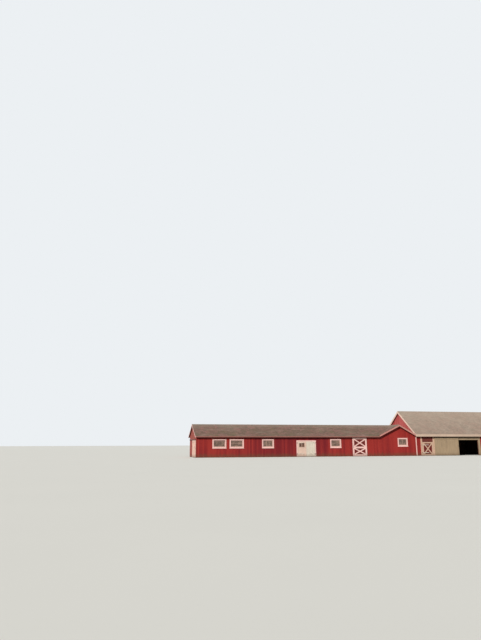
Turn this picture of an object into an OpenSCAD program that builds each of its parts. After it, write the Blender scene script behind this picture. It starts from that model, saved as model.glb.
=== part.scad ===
// A long low stable wing with a cross gable, joined to a taller barn at its right end.
// The front wall faces -Y and its outer face is the plane y = 0 before the whole is centred.
// Every roof is a slab of even thickness whose top edge heights are given at the ridge and the eave.

/* [Stable wing] */
// Length of the wing's walls up to the tall barn
wing_len = 27270; // [26800:10:27400]
// Depth of the wing's walls
wing_depth = 4740; // [4600:10:4900]
// Height of the ridge
wing_ridge_h = 3725; // [3650:5:3800]
// Height of the roof's top edge at the eave
wing_eave_h = 2320; // [2310:5:2350]
// How far the eaves reach past the walls
wing_eave_out = 320; // [260:5:340]
// How far the roof reaches past the left end wall
wing_rake_out = 145; // [100:5:200]
// Upright thickness of the wing's roof
wing_roof_t = 100; // [80:1:104]
// Thickness of the board walls
wall_t = 140; // [120:1:160]

/* [Cross gable] */
// Distance from the cross gable's ridge to the tall barn
cross_in = 2360; // [2300:10:2420]
// Height of the roof's top edge at the gable's left foot
cross_left_h = 2470; // [2440:5:2500]
// Height of the roof's top edge where it meets the tall barn
cross_right_h = 2440; // [2420:5:2460]

/* [Tall barn] */
// Length of the tall barn's walls
barn_len = 12140; // [11800:10:12200]
// Depth of the tall barn's walls
barn_depth = 7630; // [7400:10:7900]
// Height of the ridge
barn_ridge_h = 5585; // [5450:5:5700]
// Height of the roof's top edge at the eave
barn_eave_h = 2575; // [2560:5:2620]
// How far the eaves reach past the walls
barn_eave_out = 340; // [310:5:370]
// How far the roof reaches past the end walls
barn_rake_out = 180; // [160:5:220]
// Upright thickness of the tall barn's roof
barn_roof_t = 120; // [100:1:135]

/* [Windows] */
// Left edge of the first window's casing
window_1_x = 1830; // [1750:10:1850]
// Width of the first window over its casing
window_1_w = 1590; // [1500:10:1650]
// Left edge of the second window's casing
window_2_x = 3800; // [3750:10:3900]
// Width of the second window over its casing
window_2_w = 1650; // [1500:10:1700]
// Left edge of the third window's casing
window_3_x = 7600; // [7500:10:7700]
// Width of the third window over its casing
window_3_w = 1410; // [1300:10:1500]
// Left edge of the fourth window's casing
window_4_x = 15940; // [15800:10:16000]
// Width of the fourth window over its casing
window_4_w = 1380; // [1300:10:1500]
// Distance from the cross gable window's casing to the gable's ridge, on the left
window_5_in = 190; // [100:10:300]
// Width of the cross gable window over its casing
window_5_w = 1330; // [1250:10:1400]
// Height of every window over its casing
window_h = 1000; // [950:10:1020]
// Height of the wing windows' lower edge
window_z = 1010; // [990:5:1020]
// Height of the cross gable window's lower edge
window_5_z = 1130; // [1080:10:1160]
// Width of the casing boards round the windows
window_trim_w = 145; // [120:1:160]
// Gap left at the top of the first window where its sash is down
window_1_drop = 110; // [60:5:140]
// How far the sills stand out from the walls
sill_out = 60; // [45:1:80]
// Thickness of the sills
sill_t = 35; // [25:1:45]
// Width of the sash bars
sash_w = 45; // [35:1:60]
// Thickness of the glass
glass_t = 6; // [4:0.5:8]

/* [Stable door] */
// Left edge of the opening
stable_door_x = 11865; // [11800:5:11950]
// Width of the opening
stable_door_w = 2150; // [2050:10:2200]
// Height of the opening
stable_door_h = 1740; // [1700:10:1760]
// Width of the casing boards
stable_trim_w = 120; // [100:1:140]
// Width of the window in the left leaf over its frame
leaf_window_w = 640; // [560:10:660]
// Height of the window in the left leaf over its frame
leaf_window_h = 460; // [400:10:480]
// Height of that window's lower edge
leaf_window_z = 1105; // [1050:5:1120]

/* [Sliding doors] */
// Left edge of the cross braced door when it is shut
brace_door_x = 18750; // [18700:10:18850]
// Width of the cross braced door
brace_door_w = 1830; // [1750:10:1860]
// Height of the cross braced door's top
brace_door_top = 2190; // [2150:5:2195]
// Front edge of the end door when it is shut
end_door_y = 105; // [100:5:120]
// Width of the end door
end_door_w = 2300; // [2200:10:2350]
// Height of the end door's top
end_door_top = 1890; // [1850:10:1920]
// How far each sliding door laps over the wall beside its opening
door_lap = 150; // [120:5:180]
// Thickness of the sliding doors' boards
door_board_t = 30; // [25:1:32]
// Thickness of the frame boards nailed on them
door_frame_t = 25; // [20:1:28]
// Width of those frame boards
door_frame_w = 200; // [160:5:220]
// Gap between the wall and a sliding door
door_gap = 30; // [25:1:40]
// Gap between the ground and the doors
door_foot_gap = 40; // [30:1:60]

/* [Tall barn openings] */
// Distance from the wing to the half door's opening
half_door_in = 755; // [740:5:760]
// Width of the half door's opening
half_door_w = 1450; // [1400:10:1450]
// Height of the half door's opening
half_door_open_h = 2260; // [2200:10:2270]
// Height of the half door
half_door_h = 1640; // [1600:10:1700]
// Width of the casing boards beside it
half_trim_w = 220; // [180:5:225]
// Distance from the wing to the open bay
bay_in = 5330; // [5320:5:5400]
// Width of the open bay
bay_w = 3300; // [3200:10:3400]
// Height of the open bay
bay_h = 1890; // [1840:10:1920]
// How far the bay door laps over the wall on each side
bay_lap = 20; // [15:1:25]
// How far the door of the open bay slides
bay_slide = 2880; // [2800:10:2880]
// Height of the bay door's top
bay_door_top = 2160; // [2130:5:2165]

/* [Trim] */
// Thickness of the flat trim boards
trim_t = 25; // [20:1:28]
// Depth of the cross gable's rake boards
cross_rake_h = 200; // [160:5:220]
// Depth of the rake boards at the wing's left end
wing_rake_h = 145; // [120:5:170]
// Depth of the tall barn's rake boards
barn_rake_h = 270; // [240:5:290]
// Depth of the tall barn's eave boards
barn_fascia_h = 280; // [240:5:290]
// Width of the white corner board
corner_board_w = 115; // [90:1:140]
// Thickness of the ridge caps
cap_t = 14; // [10:1:20]
// Width of each side of a ridge cap seen from above
cap_w = 190; // [150:5:230]

/* [Door hardware] */
// Width of the box track
track_w = 56; // [52:1:60]
// Height of the box track
track_h = 52; // [48:1:56]
// Thickness of the track's sheet
track_t = 4; // [3:0.5:5]
// Width of the slot under the track
track_slot = 20; // [18:1:22]
// Radius of the trolley wheels
wheel_r = 16; // [14:1:16]
// Width of the strap hinges
strap_w = 60; // [40:1:70]
// Radius of the hinge knuckles
knuckle_r = 10; // [9:0.5:11]
// Length of the pull handles on the sliding doors
handle_l = 260; // [200:5:320]
// Radius of the handles' bars
handle_r = 9; // [7:0.5:12]

/* [Hidden] */

// Roof pitches and the heights of the roofs' undersides
far = 60000;
roof_seat = 0.1;
wing_ridge_y = wing_depth / 2;
wing_run = wing_ridge_y + wing_eave_out;
wing_pitch = (wing_ridge_h - wing_eave_h) / wing_run;
barn_x = wing_len;
cross_x = barn_x - cross_in;
cross_foot = cross_x - wing_run;
cross_left_pitch = (wing_ridge_h - cross_left_h) / wing_run;
cross_right_pitch = (wing_ridge_h - cross_right_h) / cross_in;
valley_run = wing_run * cross_left_pitch / wing_pitch;
barn_end = barn_x + barn_len;
barn_ridge_y = barn_depth / 2;
barn_run = barn_ridge_y + barn_eave_out;
barn_pitch = (barn_ridge_h - barn_eave_h) / barn_run;
wing_wall_top = wing_eave_h + wing_eave_out * wing_pitch - wing_roof_t - roof_seat;
rake_side = barn_x - barn_rake_out;
notch_gap = 12;
notch_out = 100;
total_left = -wing_rake_out - trim_t;
total_right = barn_end + barn_rake_out + trim_t;
total_front = -barn_eave_out - trim_t;
total_back = barn_depth + barn_eave_out + trim_t;

// Openings in the front wall and in the wing's left end
brace_open_x = brace_door_x + door_lap;
brace_open_w = brace_door_w - 2 * door_lap;
brace_open_h = brace_door_top - 115;
end_open_y = end_door_y + door_lap + 40;
end_open_w = end_door_w - 2 * door_lap - 40;
end_open_h = end_door_top - 100;
track_drop = 45;
track_y = door_gap + (door_board_t + door_frame_t) / 2;
leaf_gap = 6;
board_foot = 40;
leaf_t = 45;
leaf_stile = 150;
leaf_w = (stable_door_w - 3 * leaf_gap - 4) / 2;
stable_hinges = [350, 1580];
half_hinges = [380, 1300];
half_frame_w = 160;
brace_w = 130;
brace_rail_z = 930;
handle_z = 1000;
handle_out = 42;
sill_side = 30;
sash_in = 30;
sash_d = 40;
pane_in = sash_in + (sash_d - glass_t) / 2;
sill_fall = 12;
post_w = 160;
header_past = 300;
hinge_out = 16;
strap_t = 8;
pin_r = 5;
pin_fit = 0.1;
window_5_x = cross_x - window_5_in;
half_door_x = barn_x + half_door_in;
bay_x = barn_x + bay_in;
bay_door_x = bay_x - bay_lap - bay_slide;
bay_door_w = bay_w + 2 * bay_lap;

// Casing left edge, width and lower edge of each window
windows = [
  [window_1_x, window_1_w, window_z],
  [window_2_x, window_2_w, window_z],
  [window_3_x, window_3_w, window_z],
  [window_4_x, window_4_w, window_z],
  [window_5_x, window_5_w, window_5_z]
];

// Moves the whole so that its footprint is centred on the origin
module centred() {
  translate([-(total_left + total_right) / 2, -(total_front + total_back) / 2, 0])
    children();
}

// A block given by its two corners
module block(a, b) {
  translate(a)
    cube(b - a);
}

// Extrudes an outline drawn as [y, z] from x0 to x1
module along_x(x0, x1) {
  translate([x0, 0, 0])
    rotate([90, 0, 90])
      linear_extrude(x1 - x0)
        children();
}

// Extrudes an outline drawn as [x, z] from y0 to y1
module along_y(y0, y1) {
  translate([0, y1, 0])
    rotate([90, 0, 0])
      linear_extrude(y1 - y0)
        children();
}

// The outline of everything under a gable roof's top surface, lowered by some depth
module under_gable(mid, run, ridge_h, eave_h, drop) {
  polygon([
    [mid - run, 0],
    [mid + run, 0],
    [mid + run, eave_h - drop],
    [mid, ridge_h - drop],
    [mid - run, eave_h - drop]
  ]);
}

// The cross gable's outline seen from the front, lowered by some depth
module under_cross(drop) {
  polygon([
    [cross_foot, 0],
    [barn_x, 0],
    [barn_x, cross_right_h - drop],
    [cross_x, wing_ridge_h - drop],
    [cross_foot, cross_left_h - drop]
  ]);
}

// One slope of a gable roof as a slab outline, from the ridge to the eave on one side
module slope_outline(mid, run, ridge_h, eave_h, thick, side) {
  polygon([
    [mid, ridge_h],
    [mid + side * run, eave_h],
    [mid + side * run, eave_h - thick],
    [mid, ridge_h - thick]
  ]);
}

// A folded strip over a ridge, lying on slopes that may differ on its two sides
module cap_outline(mid, ridge_h, pitch_a, pitch_b) {
  polygon([
    [mid, ridge_h],
    [mid + cap_w, ridge_h - cap_w * pitch_b],
    [mid + cap_w, ridge_h - cap_w * pitch_b + cap_t],
    [mid, ridge_h + cap_t],
    [mid - cap_w, ridge_h - cap_w * pitch_a + cap_t],
    [mid - cap_w, ridge_h - cap_w * pitch_a]
  ]);
}

// A pair of rake boards under a roof's edge, seen from the end
module rake_outline(mid, run, ridge_h, eave_h, depth) {
  polygon([
    [mid - run, eave_h],
    [mid, ridge_h],
    [mid + run, eave_h],
    [mid + run, eave_h - depth],
    [mid, ridge_h - depth],
    [mid - run, eave_h - depth]
  ]);
}

// A flat ring of boards round an opening, w by h over its outside, drawn as [x, z]
module ring_outline(x, z, w, h, board) {
  difference() {
    translate([x, z])
      square([w, h]);
    translate([x + board, z + board])
      square([w - 2 * board, h - 2 * board]);
  }
}

// Two crossing braces inside a panel, drawn as [x, z]
module cross_outline(x, z, w, h, board) {
  intersection() {
    translate([x, z])
      square([w, h]);
    union() {
      translate([x + w / 2, z + h / 2])
        rotate(atan2(h, w))
          square([w + h, board], center = true);
      translate([x + w / 2, z + h / 2])
        rotate(-atan2(h, w))
          square([w + h, board], center = true);
    }
  }
}

// Holes for the row of windows, right through a wall that starts at y0
module window_holes(y0) {
  for (w = windows)
    block(
      [w[0] + window_trim_w, y0 - 10, w[2] + window_trim_w],
      [w[0] + w[1] - window_trim_w, y0 + wall_t + 10, w[2] + window_h - window_trim_w]
    );
}

// The C shaped box track with a slot underneath, drawn as [y, z] with its middle at y = 0
module track_outline() {
  difference() {
    translate([-track_w / 2, 0])
      square([track_w, track_h]);
    translate([-track_w / 2 + track_t, track_t])
      square([track_w - 2 * track_t, track_h - 2 * track_t]);
    translate([-track_slot / 2, -1])
      square([track_slot, track_t + 2]);
  }
}

// A box track along X in front of the wall, carried by angle brackets
module track(x0, x1, z) {
  translate([0, -track_y, z])
    along_x(x0, x1)
      track_outline();
  for (i = [0 : 3])
    block(
      [x0 + 60 + i * (x1 - x0 - 180) / 3, -track_y + track_w / 2, z],
      [x0 + 120 + i * (x1 - x0 - 180) / 3, 0, z + track_h]
    );
}

// Two trolleys inside the track and the straps that hold a door of width w under them
module hangers(x0, w, door_top, z) {
  for (x = [x0 + 300, x0 + w - 300]) {
    block([x - 40, -track_y - 4, door_top], [x + 40, -track_y + 4, z + track_h / 2]);
    for (s = [-25, 25])
      translate([x + s, -track_y + 18, z + track_t + 0.5 + wheel_r])
        rotate([90, 0, 0])
          cylinder(r = wheel_r, h = 36, $fn = 32);
    block([x - 60, -track_y - 20, door_top], [x + 60, -track_y + 20, door_top + 8]);
  }
}

// An upright pull handle on a door's frame, its bar held by two short feet
module handle(x) {
  face = -door_gap - door_board_t - door_frame_t;
  translate([x, face - handle_out, handle_z])
    cylinder(r = handle_r, h = handle_l, $fn = 24);
  for (z = [handle_z + 30, handle_z + handle_l - 30])
    translate([x, face, z])
      rotate([90, 0, 0])
        cylinder(r = handle_r * 0.8, h = handle_out, $fn = 24);
}

// The front wall with its bevelled top under the eave and the gable of the cross wing
module front_wall_whole() {
  along_x(0, cross_x)
    polygon([
      [0, 0],
      [wall_t, 0],
      [wall_t, wing_wall_top + wall_t * wing_pitch],
      [0, wing_wall_top]
    ]);
  along_y(0, wall_t)
    under_cross(wing_roof_t + roof_seat);
}

// Three lengths of the front wall beside the two doorways, with the windows cut out
module front_wall() {
  centred() color([0.56, 0.15, 0.14])
    difference() {
      front_wall_whole();
      window_holes(0);
      block([stable_door_x, -1, -1], [stable_door_x + stable_door_w, wall_t + 1, far]);
      block([brace_open_x, -1, -1], [brace_open_x + brace_open_w, wall_t + 1, far]);
    }
}

// The lengths of wall over the two doorways
module front_wall_headers() {
  centred() color([0.56, 0.15, 0.14])
    intersection() {
      front_wall_whole();
      union() {
        block([stable_door_x, -1, stable_door_h], [stable_door_x + stable_door_w, wall_t + 1, far]);
        block([brace_open_x, -1, brace_open_h], [brace_open_x + brace_open_w, wall_t + 1, far]);
      }
    }
}

// The wing's back wall, with the front's windows and its gable repeated
module wing_back_wall() {
  centred() color([0.56, 0.15, 0.14])
    difference() {
      union() {
        along_x(0, cross_x)
          polygon([
            [wing_depth - wall_t, 0],
            [wing_depth, 0],
            [wing_depth, wing_wall_top],
            [wing_depth - wall_t, wing_wall_top + wall_t * wing_pitch]
          ]);
        along_y(wing_depth - wall_t, wing_depth)
          under_cross(wing_roof_t + roof_seat);
      }
      window_holes(wing_depth - wall_t);
    }
}

// The outline of the wing's left end wall between the front and back walls
module end_wall_outline() {
  intersection() {
    translate([wall_t, 0])
      square([wing_depth - 2 * wall_t, far]);
    under_gable(wing_ridge_y, wing_run, wing_ridge_h, wing_eave_h, wing_roof_t + roof_seat);
  }
}

// The end wall beside its doorway, in two lengths
module end_wall() {
  centred() color([0.62, 0.2, 0.2])
    along_x(0, wall_t)
      difference() {
        intersection() {
          end_wall_outline();
          square([wing_depth, end_open_h]);
        }
        translate([end_open_y, 0])
          square([end_open_w, far]);
      }
}

// The end wall over its doorway up to the roof
module end_wall_top() {
  centred() color([0.62, 0.2, 0.2])
    along_x(0, wall_t)
      difference() {
        end_wall_outline();
        square([wing_depth, end_open_h]);
      }
}

// One slope of the wing, ended in the valley beside the cross gable
module wing_slope(side) {
  intersection() {
    along_x(-wing_rake_out, cross_x)
      slope_outline(wing_ridge_y, wing_run, wing_ridge_h, wing_eave_h, wing_roof_t, side);
    linear_extrude(far)
      translate([0, wing_ridge_y])
        polygon([
          [-wing_rake_out, 0],
          [cross_x, 0],
          [cross_foot, side * valley_run],
          [cross_foot, side * wing_run],
          [-wing_rake_out, side * wing_run]
        ]);
  }
}

// The cross gable's left slope on one side of the wing's ridge, ended in the same valley
module cross_slope(side) {
  intersection() {
    along_y(-wing_eave_out, wing_depth + wing_eave_out)
      slope_outline(cross_x, wing_run, wing_ridge_h, cross_left_h, wing_roof_t, -1);
    linear_extrude(far)
      translate([0, wing_ridge_y])
        polygon([
          [cross_x, 0],
          [cross_foot, side * valley_run],
          [cross_foot, side * wing_run],
          [cross_x, side * wing_run]
        ]);
  }
}

// The wing's front slope
module wing_roof_front() {
  centred() color([0.45, 0.38, 0.33])
    wing_slope(-1);
}

// The wing's back slope
module wing_roof_back() {
  centred() color([0.45, 0.38, 0.33])
    wing_slope(1);
}

// The corner between the wing's back slope and the cross gable, which is the gable's left slope there
module wing_roof_corner() {
  centred() color([0.45, 0.38, 0.33])
    cross_slope(1);
}

// The cross gable's left slope at the front
module cross_roof_left() {
  centred() color([0.45, 0.38, 0.33])
    cross_slope(-1);
}

// The cross gable's right slope, stopped at the tall barn and notched round its overhang
module cross_roof_right() {
  centred() color([0.45, 0.38, 0.33])
    difference() {
      along_y(-wing_eave_out, wing_depth + wing_eave_out)
        slope_outline(cross_x, cross_in, wing_ridge_h, cross_right_h, wing_roof_t, 1);
      block([rake_side - trim_t - notch_gap, -far, 0], [barn_x + 1, -notch_out, far]);
    }
}

// The folded cap along the wing's ridge, ended on the cross gable's roof
module wing_ridge_cap() {
  centred() color([0.55, 0.5, 0.44])
    difference() {
      along_x(-wing_rake_out, cross_x)
        cap_outline(wing_ridge_y, wing_ridge_h + roof_seat, wing_pitch, wing_pitch);
      along_y(-wing_eave_out, wing_depth + wing_eave_out)
        under_cross(-roof_seat);
    }
}

// The folded cap along the cross gable's ridge, cut where the wing's ridge runs into it
module cross_ridge_cap() {
  centred() color([0.55, 0.5, 0.44])
    difference() {
      along_y(-wing_eave_out, wing_depth + wing_eave_out)
        cap_outline(cross_x, wing_ridge_h + roof_seat, cross_left_pitch, cross_right_pitch);
      along_x(0, cross_x + roof_seat) {
        under_gable(wing_ridge_y, wing_run, wing_ridge_h, wing_eave_h, -2 * roof_seat);
        cap_outline(wing_ridge_y, wing_ridge_h + 2 * roof_seat, wing_pitch, wing_pitch);
      }
    }
}

// Thin boards on the wing's front and back eaves
module wing_eave_boards() {
  centred() color([0.36, 0.09, 0.08]) {
    block(
      [-wing_rake_out, -wing_eave_out - trim_t, wing_eave_h - wing_roof_t],
      [cross_foot, -wing_eave_out, wing_eave_h]
    );
    block(
      [-wing_rake_out, wing_depth + wing_eave_out, wing_eave_h - wing_roof_t],
      [cross_foot, wing_depth + wing_eave_out + trim_t, wing_eave_h]
    );
  }
}

// Rake boards at the wing's left end
module wing_rake_boards() {
  centred() color([0.9, 0.78, 0.74])
    along_x(-wing_rake_out - trim_t, -wing_rake_out)
      rake_outline(wing_ridge_y, wing_run, wing_ridge_h, wing_eave_h, wing_rake_h);
}

// A pair of rake boards on the cross gable from its left foot to the place x1, starting at y0
module cross_rakes(x1, y0) {
  along_y(y0, y0 + trim_t)
    intersection() {
      difference() {
        under_cross(0);
        under_cross(cross_rake_h);
      }
      translate([cross_foot, 0])
        square([x1 - cross_foot, far]);
    }
}

// Rake boards on both ends of the cross gable, the front ones stopped at the tall barn's overhang
module cross_rake_boards() {
  centred() color([0.86, 0.62, 0.6]) {
    cross_rakes(rake_side - trim_t - notch_gap, -wing_eave_out - trim_t);
    cross_rakes(barn_x, wing_depth + wing_eave_out);
  }
}

// White board at the corner between the wing and the tall barn
module corner_board() {
  centred() color([0.93, 0.82, 0.77])
    block(
      [barn_x - corner_board_w, -trim_t, board_foot],
      [barn_x, 0, cross_right_h - wing_roof_t]
    );
}

// A casing on the plane y = 0 with a sill under it whose front edge falls away
module casing(w) {
  along_y(-trim_t, 0)
    ring_outline(w[0], w[2], w[1], window_h, window_trim_w);
  translate([0, 0, w[2]])
    along_x(w[0] - sill_side, w[0] + w[1] + sill_side)
      polygon([
        [0, -sill_t],
        [0, 0],
        [-trim_t, 0],
        [-sill_out, -sill_fall],
        [-sill_out, -sill_t]
      ]);
}

// White casings of all windows, on the outer faces of the walls
module window_casings() {
  centred() color([0.93, 0.8, 0.76]) {
    for (w = windows)
      casing(w);
    translate([0, wing_depth, 0])
      mirror([0, 1, 0])
        for (w = windows)
          casing(w);
  }
}

// One sash in its opening, its outer face set back from the wall's face
module sash(w, y0, drop) {
  along_y(y0, y0 + sash_d)
    ring_outline(
      w[0] + window_trim_w,
      w[2] + window_trim_w,
      w[1] - 2 * window_trim_w,
      window_h - 2 * window_trim_w - drop,
      sash_w
    );
}

// The sashes of all windows; the first stands lowered with a gap over it
module window_sashes() {
  centred() color([0.9, 0.82, 0.78])
    for (i = [0 : len(windows) - 1]) {
      sash(windows[i], sash_in, i == 0 ? window_1_drop : 0);
      sash(windows[i], wing_depth - sash_in - sash_d, 0);
    }
}

// One pane set in the middle of its sash
module pane(w, y0, drop) {
  block(
    [w[0] + window_trim_w + sash_w, y0, w[2] + window_trim_w + sash_w],
    [
      w[0] + w[1] - window_trim_w - sash_w,
      y0 + glass_t,
      w[2] + window_h - window_trim_w - sash_w - drop
    ]
  );
}

// The glass of all windows
module window_glass() {
  centred() color([0.5, 0.46, 0.42])
    for (i = [0 : len(windows) - 1]) {
      pane(windows[i], pane_in, i == 0 ? window_1_drop : 0);
      pane(windows[i], wing_depth - pane_in - glass_t, 0);
    }
}

// White boards round the stable door
module stable_door_casing() {
  centred() color([0.93, 0.82, 0.78])
    along_y(-trim_t, 0)
      difference() {
        translate([stable_door_x - stable_trim_w, board_foot])
          square([
            stable_door_w + 2 * stable_trim_w,
            stable_door_h + stable_trim_w - board_foot
          ]);
        translate([stable_door_x, 0])
          square([stable_door_w, stable_door_h]);
      }
}

// The box tracks over the three sliding doors
module sliding_door_tracks() {
  centred() color([0.3, 0.3, 0.31]) {
    track(brace_door_x, brace_door_x + 2 * brace_door_w + 40, brace_door_top + track_drop);
    mirror([1, -1, 0])
      track(end_door_y - 10, wing_depth, end_door_top + track_drop);
    track(bay_door_x, bay_x + bay_w + bay_lap + 40, bay_door_top + track_drop);
  }
}

// One fixed pin on its plate, standing beside a leaf's edge at height z
module hinge_pin(x, z, side) {
  y = -trim_t - hinge_out;
  low = z - strap_w / 2 - 24;
  translate([x, y, low])
    cylinder(r = pin_r, h = strap_w + 36, $fn = 24);
  translate([x, y, low])
    cylinder(r = knuckle_r, h = 16, $fn = 24);
  block([min(x, x - side * 40), y - 6, low], [max(x, x - side * 40), -trim_t, low + 16]);
  block([x - side * 60 - 30, -trim_t - 5, low], [x - side * 60 + 30, -trim_t, z + strap_w / 2]);
}

// The pins of the stable door and the half door
module hinge_pins() {
  centred() color([0.2, 0.2, 0.21]) {
    for (z = stable_hinges) {
      hinge_pin(stable_door_x, z, 1);
      hinge_pin(stable_door_x + stable_door_w, z, -1);
    }
    for (z = half_hinges)
      hinge_pin(half_door_x, z, 1);
  }
}

// A strap with a rolled eye round the pin at x, reaching len over the leaf
module strap(x, z, len, side) {
  y = -trim_t - hinge_out;
  near = x + side * leaf_gap;
  root = x + side * 34;
  tip = x + side * len;
  difference() {
    union() {
      translate([x, y, z - strap_w / 2])
        cylinder(r = knuckle_r, h = strap_w, $fn = 24);
      block([min(near, tip), -trim_t - strap_t, z - strap_w / 2], [max(near, tip), -trim_t, z + strap_w / 2]);
      block([min(near, root), y, z - strap_w / 2], [max(near, root), -trim_t, z + strap_w / 2]);
    }
    translate([x, y, z - strap_w / 2 - 1])
      cylinder(r = pin_r + pin_fit, h = strap_w + 2, $fn = 24);
  }
}

// The left leaf of the stable door, with its window cut through
module left_leaf() {
  x0 = stable_door_x + leaf_gap;
  w = leaf_w;
  z0 = door_foot_gap;
  h = stable_door_h - leaf_gap - door_foot_gap;
  wx = x0 + (w - leaf_window_w) / 2;
  centred() color([0.9, 0.87, 0.82])
    difference() {
      union() {
        along_y(-trim_t + 20, -trim_t + leaf_t)
          translate([x0, z0])
            square([w, h]);
        along_y(-trim_t, -trim_t + 20) {
          ring_outline(x0, z0, w, h, leaf_stile);
          ring_outline(wx - 60, leaf_window_z - 60, leaf_window_w + 120, leaf_window_h + 120, 60);
        }
      }
      for (s = [0, 1])
        block(
          [wx + s * (leaf_window_w / 2 + 20), -far, leaf_window_z],
          [wx + s * (leaf_window_w / 2 + 20) + leaf_window_w / 2 - 20, far, leaf_window_z + leaf_window_h]
        );
    }
}

// The two small panes in the left leaf
module left_leaf_glass() {
  x0 = stable_door_x + leaf_gap;
  wx = x0 + (leaf_w - leaf_window_w) / 2;
  centred() color([0.42, 0.34, 0.3])
    for (s = [0, 1])
      block(
        [wx + s * (leaf_window_w / 2 + 20), 0, leaf_window_z],
        [wx + s * (leaf_window_w / 2 + 20) + leaf_window_w / 2 - 20, glass_t, leaf_window_z + leaf_window_h]
      );
}

// The plain right leaf of the stable door
module right_leaf() {
  x0 = stable_door_x + stable_door_w - leaf_gap - leaf_w;
  h = stable_door_h - leaf_gap - door_foot_gap;
  centred() color([0.86, 0.87, 0.82]) {
    along_y(-trim_t + 20, -trim_t + leaf_t)
      translate([x0, door_foot_gap])
        square([leaf_w, h]);
    along_y(-trim_t, -trim_t + 20)
      ring_outline(x0, door_foot_gap, leaf_w, h, leaf_stile);
  }
}

// Straps of the left leaf
module left_leaf_hinges() {
  centred() color([0.2, 0.2, 0.21])
    for (z = stable_hinges)
      strap(stable_door_x, z, leaf_w * 0.7, 1);
}

// Straps of the right leaf
module right_leaf_hinges() {
  centred() color([0.2, 0.2, 0.21])
    for (z = stable_hinges)
      strap(stable_door_x + stable_door_w, z, leaf_w * 0.7, -1);
}

// A flat sheet of boards, the back part of a sliding door
module door_sheet(x0, w, top) {
  block(
    [x0, -door_gap - door_board_t, door_foot_gap],
    [x0 + w, -door_gap, top]
  );
}

// The frame boards in front of that sheet, with braces across each panel
module braced_frame(x0, w, top, rail) {
  z0 = door_foot_gap;
  panel_w = w - 2 * door_frame_w;
  low_h = rail - z0 - door_frame_w;
  up_h = top - door_frame_w - rail - door_frame_w;
  along_y(-door_gap - door_board_t - door_frame_t, -door_gap - door_board_t) {
    ring_outline(x0, z0, w, top - z0, door_frame_w);
    translate([x0, rail])
      square([w, door_frame_w]);
    cross_outline(x0 + door_frame_w, z0 + door_frame_w, panel_w, low_h, brace_w);
    cross_outline(x0 + door_frame_w, rail + door_frame_w, panel_w, up_h, brace_w);
  }
}

// The dark red boards of the cross braced door
module brace_door_boards() {
  centred() color([0.4, 0.12, 0.1])
    door_sheet(brace_door_x, brace_door_w, brace_door_top);
}

// The white frame of the cross braced door
module brace_door_frame() {
  centred() color([0.93, 0.82, 0.78])
    braced_frame(brace_door_x, brace_door_w, brace_door_top, brace_rail_z);
}

// Its trolleys, straps and pull handle
module brace_door_hangers() {
  centred() color([0.25, 0.25, 0.26]) {
    hangers(brace_door_x, brace_door_w, brace_door_top, brace_door_top + track_drop);
    handle(brace_door_x + door_frame_w / 2);
  }
}

// The white door on the wing's left end
module end_door() {
  centred() color([0.95, 0.84, 0.78])
    mirror([1, -1, 0]) {
      door_sheet(end_door_y, end_door_w, end_door_top);
      along_y(-door_gap - door_board_t - door_frame_t, -door_gap - door_board_t) {
        ring_outline(end_door_y, door_foot_gap, end_door_w, end_door_top - door_foot_gap, door_frame_w);
        translate([end_door_y + end_door_w / 2 - door_frame_w / 2, door_foot_gap])
          square([door_frame_w, end_door_top - door_foot_gap]);
      }
    }
}

// Its trolleys, straps and pull handle
module end_door_hangers() {
  centred() color([0.25, 0.25, 0.26])
    mirror([1, -1, 0]) {
      hangers(end_door_y, end_door_w, end_door_top, end_door_top + track_drop);
      handle(end_door_y + door_frame_w / 2);
    }
}

// The outline of everything under the tall barn's roof
module barn_outline() {
  intersection() {
    square([barn_depth, far]);
    under_gable(barn_ridge_y, barn_run, barn_ridge_h, barn_eave_h, barn_roof_t + roof_seat);
  }
}

// The tall barn's front wall with its bevelled top
module barn_front_whole() {
  along_x(barn_x + wall_t, barn_end - wall_t)
    intersection() {
      barn_outline();
      square([wall_t, far]);
    }
}

// Lengths of the tall barn's front wall beside the half door and the open bay
module barn_front_wall() {
  centred() color([0.5, 0.13, 0.12])
    difference() {
      barn_front_whole();
      block([half_door_x, -1, -1], [half_door_x + half_door_w, wall_t + 1, far]);
      block([bay_x, -1, -1], [bay_x + bay_w, wall_t + 1, far]);
    }
}

// The lengths of wall over the half door and the open bay
module barn_front_headers() {
  centred() color([0.5, 0.13, 0.12])
    intersection() {
      barn_front_whole();
      union() {
        block([half_door_x, -1, half_door_open_h], [half_door_x + half_door_w, wall_t + 1, far]);
        block([bay_x, -1, bay_h], [bay_x + bay_w, wall_t + 1, far]);
      }
    }
}

// The tall barn's left gable wall, which also closes the wing
module barn_left_wall() {
  centred() color([0.66, 0.28, 0.28])
    along_x(barn_x, barn_x + wall_t)
      barn_outline();
}

// The tall barn's right gable wall
module barn_right_wall() {
  centred() color([0.56, 0.15, 0.14])
    along_x(barn_end - wall_t, barn_end)
      barn_outline();
}

// The tall barn's back wall
module barn_back_wall() {
  centred() color([0.56, 0.15, 0.14])
    along_x(barn_x + wall_t, barn_end - wall_t)
      intersection() {
        barn_outline();
        translate([barn_depth - wall_t, 0])
          square([wall_t, far]);
      }
}

// The tall barn's front slope
module barn_roof_front() {
  centred() color([0.66, 0.61, 0.55])
    along_x(rake_side, barn_end + barn_rake_out)
      slope_outline(barn_ridge_y, barn_run, barn_ridge_h, barn_eave_h, barn_roof_t, -1);
}

// The tall barn's back slope
module barn_roof_back() {
  centred() color([0.66, 0.61, 0.55])
    along_x(rake_side, barn_end + barn_rake_out)
      slope_outline(barn_ridge_y, barn_run, barn_ridge_h, barn_eave_h, barn_roof_t, 1);
}

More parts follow.
